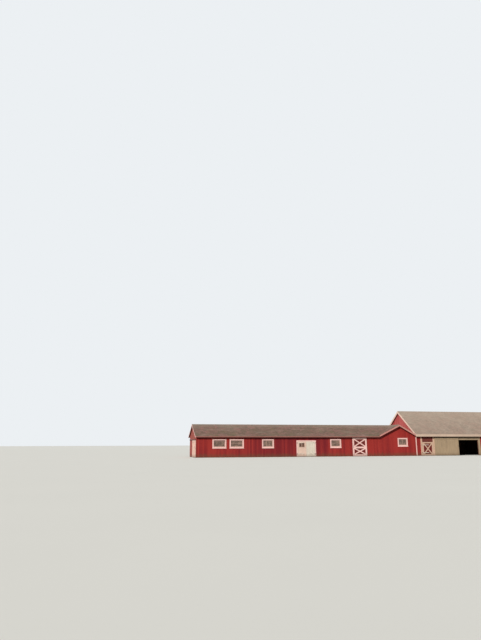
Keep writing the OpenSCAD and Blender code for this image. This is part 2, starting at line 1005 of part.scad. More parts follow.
// The folded cap along the tall barn's ridge
module barn_ridge_cap() {
  centred() color([0.7, 0.65, 0.58])
    along_x(rake_side, barn_end + barn_rake_out)
      cap_outline(barn_ridge_y, barn_ridge_h + roof_seat, barn_pitch, barn_pitch);
}

// Deep light boards on the tall barn's eaves
module barn_eave_boards() {
  centred() color([0.85, 0.78, 0.7]) {
    block(
      [rake_side - trim_t, -barn_eave_out - trim_t, barn_eave_h - barn_fascia_h],
      [barn_end + barn_rake_out + trim_t, -barn_eave_out, barn_eave_h]
    );
    block(
      [rake_side - trim_t, barn_depth + barn_eave_out, barn_eave_h - barn_fascia_h],
      [barn_end + barn_rake_out + trim_t, barn_depth + barn_eave_out + trim_t, barn_eave_h]
    );
  }
}

// Rake boards at both ends of the tall barn, the left one cut round the wing's roof
module barn_rake_boards() {
  centred() color([0.93, 0.82, 0.77]) {
    difference() {
      along_x(rake_side - trim_t, rake_side)
        rake_outline(barn_ridge_y, barn_run, barn_ridge_h, barn_eave_h, barn_rake_h);
      block(
        [rake_side - trim_t - 1, -notch_out - notch_gap, 0],
        [rake_side + 1, 400, wing_ridge_h - (rake_side - trim_t - cross_x) * cross_right_pitch + 6]
      );
    }
    along_x(barn_end + barn_rake_out, barn_end + barn_rake_out + trim_t)
      rake_outline(barn_ridge_y, barn_run, barn_ridge_h, barn_eave_h, barn_rake_h);
  }
}

// White boards beside the half door
module half_door_casing() {
  centred() color([0.93, 0.85, 0.8])
    for (x = [half_door_x - half_trim_w, half_door_x + half_door_w])
      block([x, -trim_t, board_foot], [x + half_trim_w, 0, half_door_open_h]);
}

// The light board over the open bay and the post board at its right side
module bay_header_board() {
  centred() color([0.82, 0.76, 0.66]) {
    block([bay_x, -trim_t, bay_h], [bay_x + bay_w + header_past, 0, bay_door_top + track_drop - 5]);
    block([bay_x + bay_w, -trim_t, board_foot], [bay_x + bay_w + post_w, 0, bay_h + 1]);
  }
}

// The dark boards of the half door
module half_door_boards() {
  centred() color([0.4, 0.12, 0.1])
    block(
      [half_door_x + leaf_gap, -trim_t + 20, door_foot_gap],
      [half_door_x + half_door_w - leaf_gap, -trim_t + leaf_t, half_door_h]
    );
}

// The white frame and braces of the half door
module half_door_frame() {
  x0 = half_door_x + leaf_gap;
  w = half_door_w - 2 * leaf_gap;
  h = half_door_h - door_foot_gap;
  centred() color([0.93, 0.85, 0.8])
    along_y(-trim_t, -trim_t + 20) {
      ring_outline(x0, door_foot_gap, w, h, half_frame_w);
      cross_outline(
        x0 + half_frame_w,
        door_foot_gap + half_frame_w,
        w - 2 * half_frame_w,
        h - 2 * half_frame_w,
        brace_w
      );
    }
}

// Straps of the half door
module half_door_hinges() {
  centred() color([0.2, 0.2, 0.21])
    for (z = half_hinges)
      strap(half_door_x, z, half_door_w * 0.6, 1);
}

// The closed upper leaf over the half door, shut against the header
module half_door_upper() {
  centred() color([0.4, 0.12, 0.1])
    block(
      [half_door_x, -trim_t + 20, half_door_h + 2 * leaf_gap],
      [half_door_x + half_door_w, -trim_t + leaf_t, half_door_open_h]
    );
}

// The wide light door, slid beside its bay as far as the half door's casing lets it
module bay_door() {
  centred() color([0.72, 0.65, 0.54]) {
    door_sheet(bay_door_x, bay_door_w, bay_door_top);
    along_y(-door_gap - door_board_t - door_frame_t, -door_gap - door_board_t) {
      ring_outline(
        bay_door_x, door_foot_gap, bay_door_w, bay_door_top - door_foot_gap, door_frame_w
      );
      translate([bay_door_x + bay_door_w / 2 - door_frame_w / 2, door_foot_gap])
        square([door_frame_w, bay_door_top - door_foot_gap]);
    }
  }
}

// Its trolleys, straps and pull handle
module bay_door_hangers() {
  centred() color([0.25, 0.25, 0.26]) {
    hangers(bay_door_x, bay_door_w, bay_door_top, bay_door_top + track_drop);
    handle(bay_door_x + bay_door_w - door_frame_w / 2);
  }
}

front_wall();
front_wall_headers();
wing_back_wall();
end_wall();
end_wall_top();
wing_roof_front();
wing_roof_back();
wing_roof_corner();
cross_roof_left();
cross_roof_right();
wing_ridge_cap();
cross_ridge_cap();
wing_eave_boards();
wing_rake_boards();
cross_rake_boards();
corner_board();
window_casings();
window_sashes();
window_glass();
stable_door_casing();
sliding_door_tracks();
hinge_pins();
barn_front_wall();
barn_front_headers();
barn_left_wall();
barn_right_wall();
barn_back_wall();
barn_roof_front();
barn_roof_back();
barn_ridge_cap();
barn_eave_boards();
barn_rake_boards();
half_door_casing();
bay_header_board();
left_leaf();
left_leaf_glass();
left_leaf_hinges();
right_leaf();
right_leaf_hinges();
brace_door_boards();
brace_door_frame();
brace_door_hangers();
end_door();
end_door_hangers();
half_door_boards();
half_door_frame();
half_door_hinges();
half_door_upper();
bay_door();
bay_door_hangers();
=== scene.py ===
"""Looks for a long red barn: wall boards, shingles, ridge tabs, window bars, planks, bolts and finishes.

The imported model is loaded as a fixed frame. Every new piece is worked out from the boxes and corners of its
nodes. Axis 0 runs along the barn, axis 1 across it to the back, and axis 2 upwards.
"""

import math

import bmesh
import bpy
import numpy as np
from bpy.props import FloatProperty, FloatVectorProperty, PointerProperty
from bpy.types import Operator, Panel, PropertyGroup
from mathutils import Matrix, Vector


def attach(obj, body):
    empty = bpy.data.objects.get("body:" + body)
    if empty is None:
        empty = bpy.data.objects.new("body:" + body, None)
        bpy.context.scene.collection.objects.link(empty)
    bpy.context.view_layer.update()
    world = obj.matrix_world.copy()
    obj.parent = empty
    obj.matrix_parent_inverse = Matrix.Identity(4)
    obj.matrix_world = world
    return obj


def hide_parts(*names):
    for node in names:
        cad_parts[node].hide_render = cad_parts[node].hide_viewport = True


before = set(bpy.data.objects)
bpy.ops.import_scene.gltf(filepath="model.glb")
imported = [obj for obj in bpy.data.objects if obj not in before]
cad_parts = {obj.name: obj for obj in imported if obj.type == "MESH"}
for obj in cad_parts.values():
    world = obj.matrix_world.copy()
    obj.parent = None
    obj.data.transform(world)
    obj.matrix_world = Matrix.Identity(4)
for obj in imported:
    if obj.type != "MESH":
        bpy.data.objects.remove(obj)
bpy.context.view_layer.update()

bl_info = {
    "name": "Long red barn",
    "version": (1, 0, 0),
    "blender": (4, 5, 0),
    "location": "3D View > Sidebar > Barn",
    "description": "Boards, shingles, fittings and finishes for the long red barn",
    "category": "Object",
}

# Lengths in metres that a user has no need to change.
NEAR = 1e-4  # places closer than this count as one
BELOW = -1.0  # a height under the ground, for a hole that reaches the boards' feet
CORNER_LAP = 0.012  # boards of a long wall past its corner
EAVE_GAP = 0.011  # between boards and a level eave over them, or the cross gable's roof under them
RAKE_GAP = 0.006  # between boards and a sloping roof over them
SEAM_GAP = 0.004  # between the tall barn's boards and the lower face of the cross gable's roof
SHORTEST = 0.012  # the shortest length of board that is kept
CUT_EDGE = 0.0004  # bevel along a sawn edge
DRIP = 0.015  # shingles past the wing's eave boards
RAKE_LAP = 0.012  # shingles past the cross gable's rake boards
WING_INSET = 0.003  # shingles inside the wing's rake boards
BARN_INSET = 0.002  # shingles inside the tall barn's edges
SLIVER = 0.02  # the narrowest tab that is kept
THREAD = 0.003  # width of a tab's narrower end where a valley cuts it to a point
TAB_LAP = 0.01  # the part of a tab that the next one covers
ROOF_GAP = 0.0005  # between the roof and the tabs
RIDGE_BUTT = 0.0135  # height of a ridge tab's outer end over the roof
RIDGE_TIP = 0.0102  # height of its covered end
BAR_BEVEL = 0.005  # edges of a window bar
PLANK_INSET = 0.004  # planks inside a door's edges
STILE_LAP = 0.01  # hole in the left leaf's planks, behind its upright frame boards
PANE_TRIM = 0.055  # from that leaf's pane to the planks over and under it
STRAP_PROUD = 0.008  # front of the straps before the casing
BOLT_GAP = 0.0003  # bolts inside the front of the braced door's frame

# Shares of a strap's length at which its bolts sit, from the pin to the tip.
BOLT_SHARES = np.array((0.14, 0.42, 0.7, 0.94))

# The window's number from the left, counted from 0, the bar's place as a share of the glass, and the axis
# across the bar.
BARS = np.array(((1, 0.5, 2), (2, 1 / 3, 0), (2, 2 / 3, 0), (3, 0.5, 2), (4, 0.5, 0)))

# The glazed sides of the wing: their sign along axis 1, and a word for each.
GLAZED_SIDES = ((-1, "front"), (1, "back"))

# Height of the picture and focal length, both in its pixels, and the height of the sensor in millimetres.
PICTURE_HIGH = 640
FOCAL_PIXELS = 550
SENSOR = 36


def paint(red, green, blue):
    """Linear values of a paint that is written as screen values from 0 to 255."""
    share = np.array((red, green, blue)) / 255
    linear = np.where(share <= 0.04045, share / 12.92, ((share + 0.055) / 1.055) ** 2.4)
    return tuple(float(value) for value in linear)


def length(label, description, default):
    """A property for a length in metres."""
    return FloatProperty(
        name=label, description=description, default=default, min=0, unit="LENGTH", precision=4
    )


def number(label, description, default, **kind):
    """A property for a strength, a ratio or an angle."""
    return FloatProperty(name=label, description=description, default=default, **kind)


def colour(label, description, red, green, blue):
    """A property for a paint."""
    return FloatVectorProperty(
        name=label, description=description, default=paint(red, green, blue), size=3,
        min=0, max=1, subtype="COLOR",
    )


class BoardSizes(PropertyGroup):
    """Sizes of the upright wall boards and of the planks on the doors."""

    narrow: length("Narrowest board", "Width of the narrowest wall board", 0.165)
    wide: length("Widest board", "Width of the widest wall board", 0.225)
    thin: length("Thinnest board", "Thickness of the thinnest wall board", 0.012)
    thick: length("Thickest board", "Thickness of the thickest wall board", 0.0165)
    gap: length("Gap", "Gap between two boards", 0.004)
    edge: length("Worn edge", "Width of the bevel that wear leaves on a board's long edges", 0.004)
    foot: length("Foot", "Height of the boards' feet over the ground", 0.045)
    ragged: length("Ragged feet", "How much the boards' feet differ in height", 0.03)
    plank: length("Door plank", "Width of a plank on a door", 0.115)
    plank_thick: length("Door plank thickness", "Thickness of a plank on a door", 0.008)


class ShingleSizes(PropertyGroup):
    """Sizes of the shingles and of the tabs over the ridges."""

    tab: length("Tab width", "Width of a shingle tab", 0.305)
    wing_course: length("Wing course", "Height of a shingle row on the wing and the cross gable", 0.143)
    barn_course: length("Barn course", "Height of a shingle row on the tall barn", 0.165)
    butt: length("Butt", "Thickness of a tab at its lower edge", 0.0095)
    tip: length("Tip", "Thickness of a tab where the next row covers it", 0.002)
    joint: length("Joint", "Gap between two tabs", 0.005)
    ridge_course: length("Ridge course", "Length of a ridge tab that shows", 0.15)


class FittingSizes(PropertyGroup):
    """Sizes of the window bars and bolts."""

    bar: length("Bar width", "Width of a window bar", 0.024)
    bar_deep: length("Bar depth", "Depth of a window bar", 0.026)
    bolt: length("Bolt head", "Radius of a bolt's head", 0.009)
    bolt_high: length("Bolt height", "Height of a bolt's head", 0.005)
    frame_bolt: length("Frame bolt", "Distance of a bolt from the edge of the braced door", 0.07)


class Paints(PropertyGroup):
    """Paints and natural colours."""

    red: colour("Red", "Wall paint on the front", 150, 40, 34)
    crimson: colour("Crimson", "Wall paint where it kept its colour", 116, 22, 30)
    # Painted light: this paler, pinker red makes the tall barn's left side look more lit than the front; part
    # of it is fade.
    faded: colour("Faded red", "Wall paint on the tall barn's left side", 176, 86, 84)
    end_red: colour("End red", "Wall paint on the end of the wing", 148, 68, 60)
    end_worn: colour("Worn end", "Worn paint on the end of the wing", 128, 84, 64)
    upper_red: colour("Brown red", "Closed leaf over the half door", 106, 48, 40)
    dark_red: colour("Dark red", "Boards of the braced doors", 104, 30, 26)
    # Painted light: White and End white are two copies of one paint; the trim's copy is painted brighter than
    # the end door's, to make up for the shade under the front's eaves.
    white: colour("White", "Casings, frames and rake boards", 246, 203, 195)
    end_white: colour("End white", "Sliding door on the end of the wing", 228, 190, 174)
    leaf: colour("Pale leaf", "Right leaf of the stable door, and the straps", 226, 216, 200)
    left_leaf: colour("Pinkish leaf", "Left leaf of the stable door", 228, 198, 181)
    gable: colour("Gable white", "Rake boards of the tall barn", 240, 208, 192)
    worn_white: colour("Worn white", "Casing and frame of the half door", 208, 174, 150)
    # Painted shade: the sashes and bars are duller than the casings' white, partly old paint and partly
    # painted shade for the window's recess.
    sash: colour("Sash", "Sashes and bars of the windows", 204, 168, 155)
    # Painted shade: the cream is darkened for the half shade under the tall barn's eave, over the boards' own
    # cream.
    cream: colour("Cream", "Boards and bay door of the tall barn", 170, 148, 120)
    fascia: colour("Eave cream", "Eave boards of the tall barn", 208, 184, 164)
    eave: colour("Eave edge", "Boards on the wing's eaves", 168, 112, 102)
    rake: colour("Pinkish white", "Rake boards of the cross gable", 204, 142, 132)
    bare: colour("Bare wood", "Grey wood where the paint is gone", 128, 110, 96)
    inside: colour("Inside wood", "Boards seen from inside", 128, 88, 70)
    soil: colour("Soil", "Splashes near the ground", 88, 70, 48)
    brown: colour("Brown shingle", "Shingles of the wing", 116, 97, 84)
    mauve: colour("Mauve shingle", "Patches on the wing's roof", 134, 99, 92)
    olive: colour("Olive growth", "Moss and algae on the roofs", 104, 96, 66)
    tan: colour("Tan shingle", "Shingles of the tall barn", 157, 141, 127)
    pale: colour("Pale shingle", "Washed streaks on the tall barn's roof", 178, 163, 147)
    iron: colour("Iron", "Tracks, trolleys, pins and bolts", 52, 48, 47)
    rust: colour("Rust", "Rust on the iron", 112, 62, 38)
    # Painted shade and reflection: the panes' brown stands in for the dim inside and the reflections seen in
    # old glass; the dust is real.
    pane: colour("Pane", "Dusty window glass", 112, 91, 79)
    dust: colour("Dust", "Dust on the glass", 150, 124, 108)
    # Painted shade: the stable door's pane is darker still, for the dark inside behind it.
    dark_pane: colour("Dark pane", "Glass of the stable door", 98, 66, 50)


class StageSettings(PropertyGroup):
    """Floor, sky, light and camera."""

    floor: colour("Floor", "Colour of the floor", 218, 218, 212)
    bounce: colour("Floor bounce", "Colour that the floor throws back on the barn", 96, 92, 78)
    sky: colour("Backdrop", "Colour behind the barn", 236, 240, 243)
    sky_light: number("Sky light", "Strength of the soft light", 0.46, min=0)
    sun_light: number("Sun light", "Strength of the lamp", 3.7, min=0)
    sun_soft: number("Sun size", "Angle of the lamp", 0.09, min=0, subtype="ANGLE")
    eye_high: length("Eye height", "Height of the camera", 1.4554)
    eye_left: length("Eye left", "How far left of the wing's front corner the camera stands", 9.836)
    eye_back: length("Eye distance", "How far in front of the wing's front wall the camera stands", 62.147)
    heading: number("Heading", "Turn to the right of straight ahead", 0.236, subtype="ANGLE")
    lift: number("Lift", "Upward tilt", 0.22197, subtype="ANGLE")
    lean: number("Lean", "Turn about the line of sight", -0.003, subtype="ANGLE")
    focal: number("Focal length", "Focal length in picture heights", FOCAL_PIXELS / PICTURE_HIGH, min=0)


def points(node):
    """All corners of a node's mesh, one row each."""
    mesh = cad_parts[node].data
    spots = np.empty(len(mesh.vertices) * 3, np.float32)
    mesh.vertices.foreach_get("co", spots)
    return spots.reshape(-1, 3).astype(float)


def triangles(node):
    """All triangles of a node's mesh as an array of corners."""
    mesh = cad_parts[node].data
    mesh.calc_loop_triangles()
    corners = np.empty(len(mesh.loop_triangles) * 3, np.int32)
    mesh.loop_triangles.foreach_get("vertices", corners)
    return points(node)[corners.reshape(-1, 3)]


def box(node):
    """Lowest and highest corner of a node."""
    spots = points(node)
    return spots.min(0), spots.max(0)


def solids(node, axis, keep=None):
    """Lowest and highest corners of a node's separate solids, told apart by gaps along one axis.

    Triangles are sorted by where they start, and a solid begins at each one that starts past the
    running maximum of where the earlier ones end. The function keep picks triangles by their middles.
    """
    shown = triangles(node)
    if keep is not None:
        shown = shown[keep(shown.mean(1))]
    low, high = shown.min(1), shown.max(1)
    order = np.argsort(low[:, axis])
    low, high = low[order], high[order]
    reach = np.maximum.accumulate(high[:, axis])
    starts = np.flatnonzero(np.r_[True, low[1:, axis] > reach[:-1] + NEAR])
    return np.minimum.reduceat(low, starts), np.maximum.reduceat(high, starts)


def levels(node, axis):
    """The separate places along one axis at which a node has corners, in order."""
    places = np.sort(points(node)[:, axis])
    return places[np.r_[True, np.diff(places) > 10 * NEAR]]


class Slope:
    """A roof slab read from its node: a plane that falls evenly from its highest edge to its lowest."""

    def __init__(self, node, across):
        spots = points(node)
        low = spots[:, 2].min()
        self.across = across
        self.low_at = spots[spots[:, 2] < low + NEAR][:, across].mean()
        edge = spots[np.abs(spots[:, across] - self.low_at) < NEAR]
        self.thick = edge[:, 2].max() - low
        self.high = spots[:, 2].max()
        self.high_at = spots[spots[:, 2] > self.high - NEAR][:, across].mean()
        self.pitch = (self.high - self.thick - low) / (self.high_at - self.low_at)

    def top(self, place):
        """Height of the upper face at a place across the ridge."""
        return self.high + (place - self.high_at) * self.pitch

    def under(self, place):
        """Height of the lower face at a place across the ridge."""
        return self.top(place) - self.thick


def level(value):
    """A function that gives one value at every place."""
    return lambda places: np.full(len(places), value)


def under_gable(front, back):
    """A function that gives the height of the boards' ends under two slopes."""
    return lambda places: np.minimum(front.under(places), back.under(places)) - RAKE_GAP


def on_side(side):
    """A function that tells which places lie on one side of the wing's ridge."""
    middle = wing_middle()
    return lambda spots: (spots[:, 1] - middle) * side > 0


def wing_middle():
    """The place of the wing's ridge across the barn."""
    return Slope("wing_roof_front", 1).high_at


def carried(name, rings, body, finish, slot, tone=None):
    """Closed solids, each a profile carried along a path.

    The corner rings[s, i, j] is point j of step i of solid s. A side face joins points j and j + 1 of two
    neighbouring rings, and the first and last rings are filled. The tone is one number for each solid, which
    its finish reads.
    """
    count, steps, size, _ = rings.shape
    spot = np.arange(count * steps * size).reshape(count, steps, size)
    turn = np.roll(spot, -1, axis=2)
    sides = np.stack([spot[:, :-1], turn[:, :-1], turn[:, 1:], spot[:, 1:]], axis=-1).reshape(-1, 4)
    faces = sides.tolist() + spot[:, 0, ::-1].tolist() + spot[:, -1].tolist()
    mesh = bpy.data.meshes.new(name)
    mesh.from_pydata(rings.reshape(-1, 3), [], faces)
    if tone is not None:
        shade = mesh.attributes.new("tone", "FLOAT", "FACE")
        spread = np.concatenate([np.repeat(tone, (steps - 1) * size), tone, tone])
        shade.data.foreach_set("value", spread.astype(np.float32))
    work = bmesh.new()
    work.from_mesh(mesh)
    bmesh.ops.recalc_face_normals(work, faces=work.faces)
    work.to_mesh(mesh)
    work.free()
    mesh.materials.append(finishes()[finish])
    piece = bpy.data.objects.new(name, mesh)
    bpy.context.scene.collection.objects.link(piece)
    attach(piece, body)
    return piece


def boards(name, body, finish, slot, face, span, foot, top, seed, holes=(), breaks=(), planks=False):
    """Upright boards side by side on a face: its axis, its place across that axis, and its outer side.

    A board's profile is a flat strip with two bevelled edges, carried from its foot to its top. The strips
    are cut where a hole begins or ends, and one strip then has a length under the hole and a length over it.
    The function top gives the height at a place along the wall, so that a board's end follows the roof.
    """
    along, plane, facing = face
    start, end = span
    sizes = bpy.context.scene.barn_boards
    draw = np.random.default_rng(seed)
    narrow, wide = (sizes.plank * 0.97, sizes.plank * 1.03) if planks else (sizes.narrow, sizes.wide)
    thin, thick = (sizes.plank_thick * 0.9, sizes.plank_thick) if planks else (sizes.thin, sizes.thick)
    bevel = min(sizes.edge, thin / 2)
    edges = start + np.cumsum(draw.uniform(narrow, wide, int((end - start) / narrow) + 2))
    edges = np.r_[start, edges[edges < end - narrow / 2], end]
    shade = draw.uniform(0, 1, len(edges))
    depth = draw.uniform(thin, thick, len(edges))
    drop = np.zeros(len(edges)) if planks else draw.uniform(-0.5, 0.5, len(edges)) * sizes.ragged
    holes = np.array(holes, float).reshape(-1, 4)
    cuts = np.r_[holes[:, 0], holes[:, 1], np.array(breaks, float)]
    marks = np.unique(np.round(np.r_[edges, cuts[(cuts > start) & (cuts < end)]], 5))
    left, right = marks[:-1], marks[1:]
    middle = (left + right) / 2
    board = np.searchsorted(edges, middle) - 1
    inside = (middle[:, None] > holes[:, 0]) & (middle[:, None] < holes[:, 1])
    pierced = inside.any(1)
    which = inside.argmax(1) if len(holes) else np.zeros(len(middle), int)
    sill = np.where(pierced, holes[which, 2] if len(holes) else 0, np.inf)
    lintel = np.where(pierced, holes[which, 3] if len(holes) else 0, -np.inf)
    roof = np.stack([top(left), top(right)], 1)
    base = np.repeat((foot + drop[board])[:, None], 2, 1)
    low = np.stack([base, np.minimum(roof, sill[:, None])], 1)
    high = np.stack([np.maximum(base, lintel[:, None]), roof], 1)[pierced]
    spans = np.concatenate([low, high])
    owner = np.concatenate([np.arange(len(middle)), np.flatnonzero(pierced)])
    keep = (spans[:, 1] - spans[:, 0]).min(1) > SHORTEST
    spans, owner = spans[keep], owner[keep]
    near_left = np.abs(left[owner][:, None] - edges[None, :]).min(1) < NEAR
    near_right = np.abs(right[owner][:, None] - edges[None, :]).min(1) < NEAR
    side_a = left[owner] + np.where(near_left, sizes.gap / 2, 0)
    side_b = right[owner] - np.where(near_right, sizes.gap / 2, 0)
    bevel_a = np.where(near_left, bevel, CUT_EDGE)
    bevel_b = np.where(near_right, bevel, CUT_EDGE)
    out = depth[board[owner]]
    place = np.stack([side_a, side_a, side_a + bevel_a, side_b - bevel_b, side_b, side_b], 1)
    lift = np.stack([out * 0, out - bevel_a, out, out, out - bevel_b, out * 0], 1)
    share = (place - left[owner][:, None]) / (right - left)[owner][:, None]
    rise = spans[:, :, :1] + (spans[:, :, 1:] - spans[:, :, :1]) * share[:, None, :]
    rings = np.empty((len(owner), 2, 6, 3))
    rings[..., along] = place[:, None, :]
    rings[..., 1 - along] = plane + facing * lift[:, None, :]
    rings[..., 2] = rise
    return carried(name, rings, body, finish, slot, shade[board[owner]])


def wall_boards(name, face, span, top, seed, holes=(), breaks=(), finish="red", slot="red_boards"):
    """Boards on a wall of the building, whose feet stay off the ground."""
    foot = bpy.context.scene.barn_boards.foot
    boards(name, "building", finish, slot, face, span, foot, top, seed, holes, breaks)


def shingles(name, slope, edge, first, last, course, finish, seed):
    """Rows of overlapping tabs on a slope, each a wedge that is thick at its lower edge.

    Row i starts i steps up from the edge, a step being the course times the cosine of the pitch. Each
    corner is held between first(c) and last(c), the ends of the slope at the place c across the ridge, which
    cuts tabs at a valley. A tab that would leave a sliver beside it runs on to the end instead.
    """
    sizes = bpy.context.scene.barn_shingles
    draw = np.random.default_rng(seed)
    run = slope.high_at - edge
    step = course / math.hypot(1, slope.pitch) * np.sign(run)
    index = np.arange(math.ceil(run / step))
    start = edge + index * step
    stop = edge + np.sign(run) * np.minimum(np.abs(step) * (index + 1) + TAB_LAP, abs(run))
    ends = np.array([first(start), first(stop), last(start), last(stop)])
    first_start, first_stop, last_start, last_stop = ends[:, :, None]
    count = int((ends.max() - ends.min()) / sizes.tab) + 3
    shift = (index % 2) * 0.5 + draw.uniform(-0.12, 0.12, len(index))
    left = ends.min() + (np.arange(count)[None, :] - 1.5 + shift[:, None]) * sizes.tab
    left, right = left + sizes.joint / 2, left + sizes.tab - sizes.joint / 2
    near, far = np.minimum(first_start, first_stop), np.maximum(last_start, last_stop)
    left = np.where(left - near < SLIVER + sizes.joint, near, left)
    right = np.where(far - right < SLIVER + sizes.joint, far, right)
    a, b = np.clip(left, first_start, last_start), np.clip(right, first_start, last_start)
    c, d = np.clip(left, first_stop, last_stop), np.clip(right, first_stop, last_stop)
    keep = np.maximum(b - a, d - c) > SLIVER
    row = np.repeat(index[:, None], count, 1)[keep]
    a, b, c, d = a[keep], b[keep], c[keep], d[keep]
    b, d = np.maximum(b, a + THREAD), np.maximum(d, c + THREAD)
    butt = sizes.butt * draw.uniform(0.75, 1.0, len(row))
    tip = np.full(len(row), sizes.tip)
    eave = slope.top(slope.low_at)
    rings = np.empty((len(row), 2, 4, 3))
    along = 1 - slope.across
    for ring, (place, low, high, thick) in enumerate(((start[row], a, b, butt), (stop[row], c, d, tip))):
        base = np.maximum(slope.top(place), eave) + ROOF_GAP
        rings[:, ring, :, slope.across] = place[:, None]
        rings[:, ring, :, along] = np.stack([low, high, high, low], 1)
        rings[:, ring, :, 2] = np.stack([base, base, base + thick, base + thick], 1)
    return carried(name, rings, "building", finish, finish + "_shingles", draw.uniform(0, 1, len(row)))


def ridge_tabs(name, node, along, slopes, finish, seed):
    """Folded tabs along a ridge, each a bent strip that is thick at its outer end.

    Each covers the thin end of the next. The profile follows both slopes for the half width of the cap that
    the tabs stand for, and comes back a tab's thickness higher.
    """
    sizes = bpy.context.scene.barn_shingles
    low, high = box(node)
    draw = np.random.default_rng(seed)
    half = (high[1 - along] - low[1 - along]) / 2
    count = max(2, round((high[along] - low[along]) / sizes.ridge_course))
    start = np.linspace(low[along], high[along], count + 1)
    stop = np.minimum(start[1:] + TAB_LAP, high[along])
    offset = np.array([-half, 0, half, half, 0, -half])
    fall = np.array([slopes[0].pitch, 0, slopes[1].pitch])
    fall = -np.abs(np.r_[fall, fall[::-1]]) * half
    upper = np.array([0, 0, 0, 1, 1, 1])
    rings = np.empty((count, 2, 6, 3))
    crest = slopes[0].high
    for ring, (place, thick) in enumerate(((start[:-1], RIDGE_BUTT), (stop, RIDGE_TIP))):
        rings[:, ring, :, along] = place[:, None]
        rings[:, ring, :, 1 - along] = slopes[0].high_at + offset
        rings[:, ring, :, 2] = crest + fall + ROOF_GAP + upper * (thick - ROOF_GAP)
    piece = carried(name, rings, "building", finish, finish + "_shingles", draw.uniform(0, 1, count))
    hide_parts(node)


def beams(name, low, high, axis, bevel, body, finish, slot, seed):
    """Straight bars with bevelled long edges: an eight sided profile carried along one axis."""
    one, two = [side for side in range(3) if side != axis]
    ring_one = np.array([0, 0, 0, 0, 1, 1, 1, 1])
    inset_one = np.array([1, 0, 0, 1, -1, 0, 0, -1]) * bevel
    ring_two = np.array([0, 0, 1, 1, 1, 1, 0, 0])
    inset_two = np.array([0, 1, -1, 0, 0, -1, 1, 0]) * bevel
    rings = np.empty((len(low), 2, 8, 3))
    size = high - low
    rings[..., one] = (low[:, one, None] + size[:, one, None] * ring_one + inset_one)[:, None, :]
    rings[..., two] = (low[:, two, None] + size[:, two, None] * ring_two + inset_two)[:, None, :]
    rings[:, 0, :, axis] = low[:, axis, None]
    rings[:, 1, :, axis] = high[:, axis, None]
    tone = np.random.default_rng(seed).uniform(0, 1, len(low))
    return carried(name, rings, body, finish, slot, tone)


def bolts(name, centres, axis, facing, body, finish, slot):
    """Rounded bolt heads: rings of eight points that shrink as they rise along part of a quarter circle."""
    sizes = bpy.context.scene.barn_fittings
    lean = np.linspace(0, math.pi / 2 * 0.8, 4)
    turn = np.linspace(0, 2 * math.pi, 8, endpoint=False)
    one, two = [side for side in range(3) if side != axis]
    rings = np.repeat(np.repeat(centres[:, None, None, :], len(lean), 1), len(turn), 2)
    rings[..., one] += sizes.bolt * np.cos(lean)[:, None] * np.cos(turn)
    rings[..., two] += sizes.bolt * np.cos(lean)[:, None] * np.sin(turn)
    rings[..., axis] += facing * sizes.bolt_high * np.sin(lean)[:, None]
    return carried(name, rings, body, finish, slot)


class Wire:
    """The value of a number socket, so that shader maths reads as Python expressions."""

    def __init__(self, wiring, socket):
        self.wiring = wiring
        self.socket = socket

    def __add__(self, other):
        return self.wiring.math("ADD", self, other)

    def __sub__(self, other):
        return self.wiring.math("SUBTRACT", self, other)

    def __rsub__(self, other):
        return self.wiring.math("SUBTRACT", other, self)

    def __mul__(self, other):
        return self.wiring.math("MULTIPLY", self, other)

    def __truediv__(self, other):
        return self.wiring.math("DIVIDE", self, other)

    __radd__ = __add__


class Wiring:
    """A node tree that is written as expressions."""

    def __init__(self, tree):
        self.tree = tree
        self.spot = None

    def node(self, kind, settings, sockets, output=0):
        """Adds a node, sets it, and links or fills its sockets. Returns the wire of one output."""
        made = self.tree.nodes.new(kind)
        for key, value in settings.items():
            setattr(made, key, value)
        for key, value in sockets.items():
            if isinstance(value, Wire):
                self.tree.links.new(value.socket, made.inputs[key])
            else:
                made.inputs[key].default_value = value
        return Wire(self, made.outputs[output])

    def math(self, operation, first, second=0.0):
        """One number from one or two numbers."""
        return self.node("ShaderNodeMath", {"operation": operation}, {0: first, 1: second})

    def mix(self, share, first, second):
        """A colour between two colours, which are the node's sockets 6 and 7."""
        colours = [(*value, 1.0) if isinstance(value, tuple) else value for value in (first, second)]
        sockets = {0: share, 6: colours[0], 7: colours[1]}
        return self.node("ShaderNodeMix", {"data_type": "RGBA"}, sockets, 2)

    def ramp(self, value, low, high):
        """Nothing below low, all above high, with a soft rise between them."""
        settings = {"interpolation_type": "SMOOTHSTEP"}
        return self.node("ShaderNodeMapRange", settings, {0: value, 1: low, 2: high, 3: 0.0, 4: 1.0})

    def place(self):
        """The object coordinates, made once."""
        if self.spot is None:
            self.spot = self.node("ShaderNodeTexCoord", {}, {}, "Object")
        return self.spot

    def axis(self, index):
        """One of the object coordinates as a number."""
        return self.node("ShaderNodeSeparateXYZ", {}, {0: self.place()}, index)

    def cloud(self, scale, detail=3.0, stretch=(1.0, 1.0, 1.0), twist=0.0):
        """Noise around one half, with its coordinates multiplied by stretch first."""
        spot = self.node("ShaderNodeVectorMath", {"operation": "MULTIPLY"}, {0: self.place(), 1: stretch})
        sockets = {"Vector": spot, "Scale": scale, "Detail": detail, "Distortion": twist}
        return self.node("ShaderNodeTexNoise", {}, sockets)

    def chance(self, value):
        """A random value from 0 to 1 for each whole number."""
        return self.node("ShaderNodeTexWhiteNoise", {"noise_dimensions": "1D"}, {"W": value})

    def tone(self):
        """The random tone that each board or tab carries."""
        settings = {"attribute_type": "GEOMETRY", "attribute_name": "tone"}
        return self.node("ShaderNodeAttribute", settings, {}, "Fac")

    def seen(self):
        """One for camera, glossy and transmission rays, which see the pale stage, and zero for others."""
        rays = [
            self.node("ShaderNodeLightPath", {}, {}, "Is %s Ray" % kind)
            for kind in ("Camera", "Glossy", "Transmission")
        ]
        return self.math("MINIMUM", rays[0] + rays[1] + rays[2], 1.0)


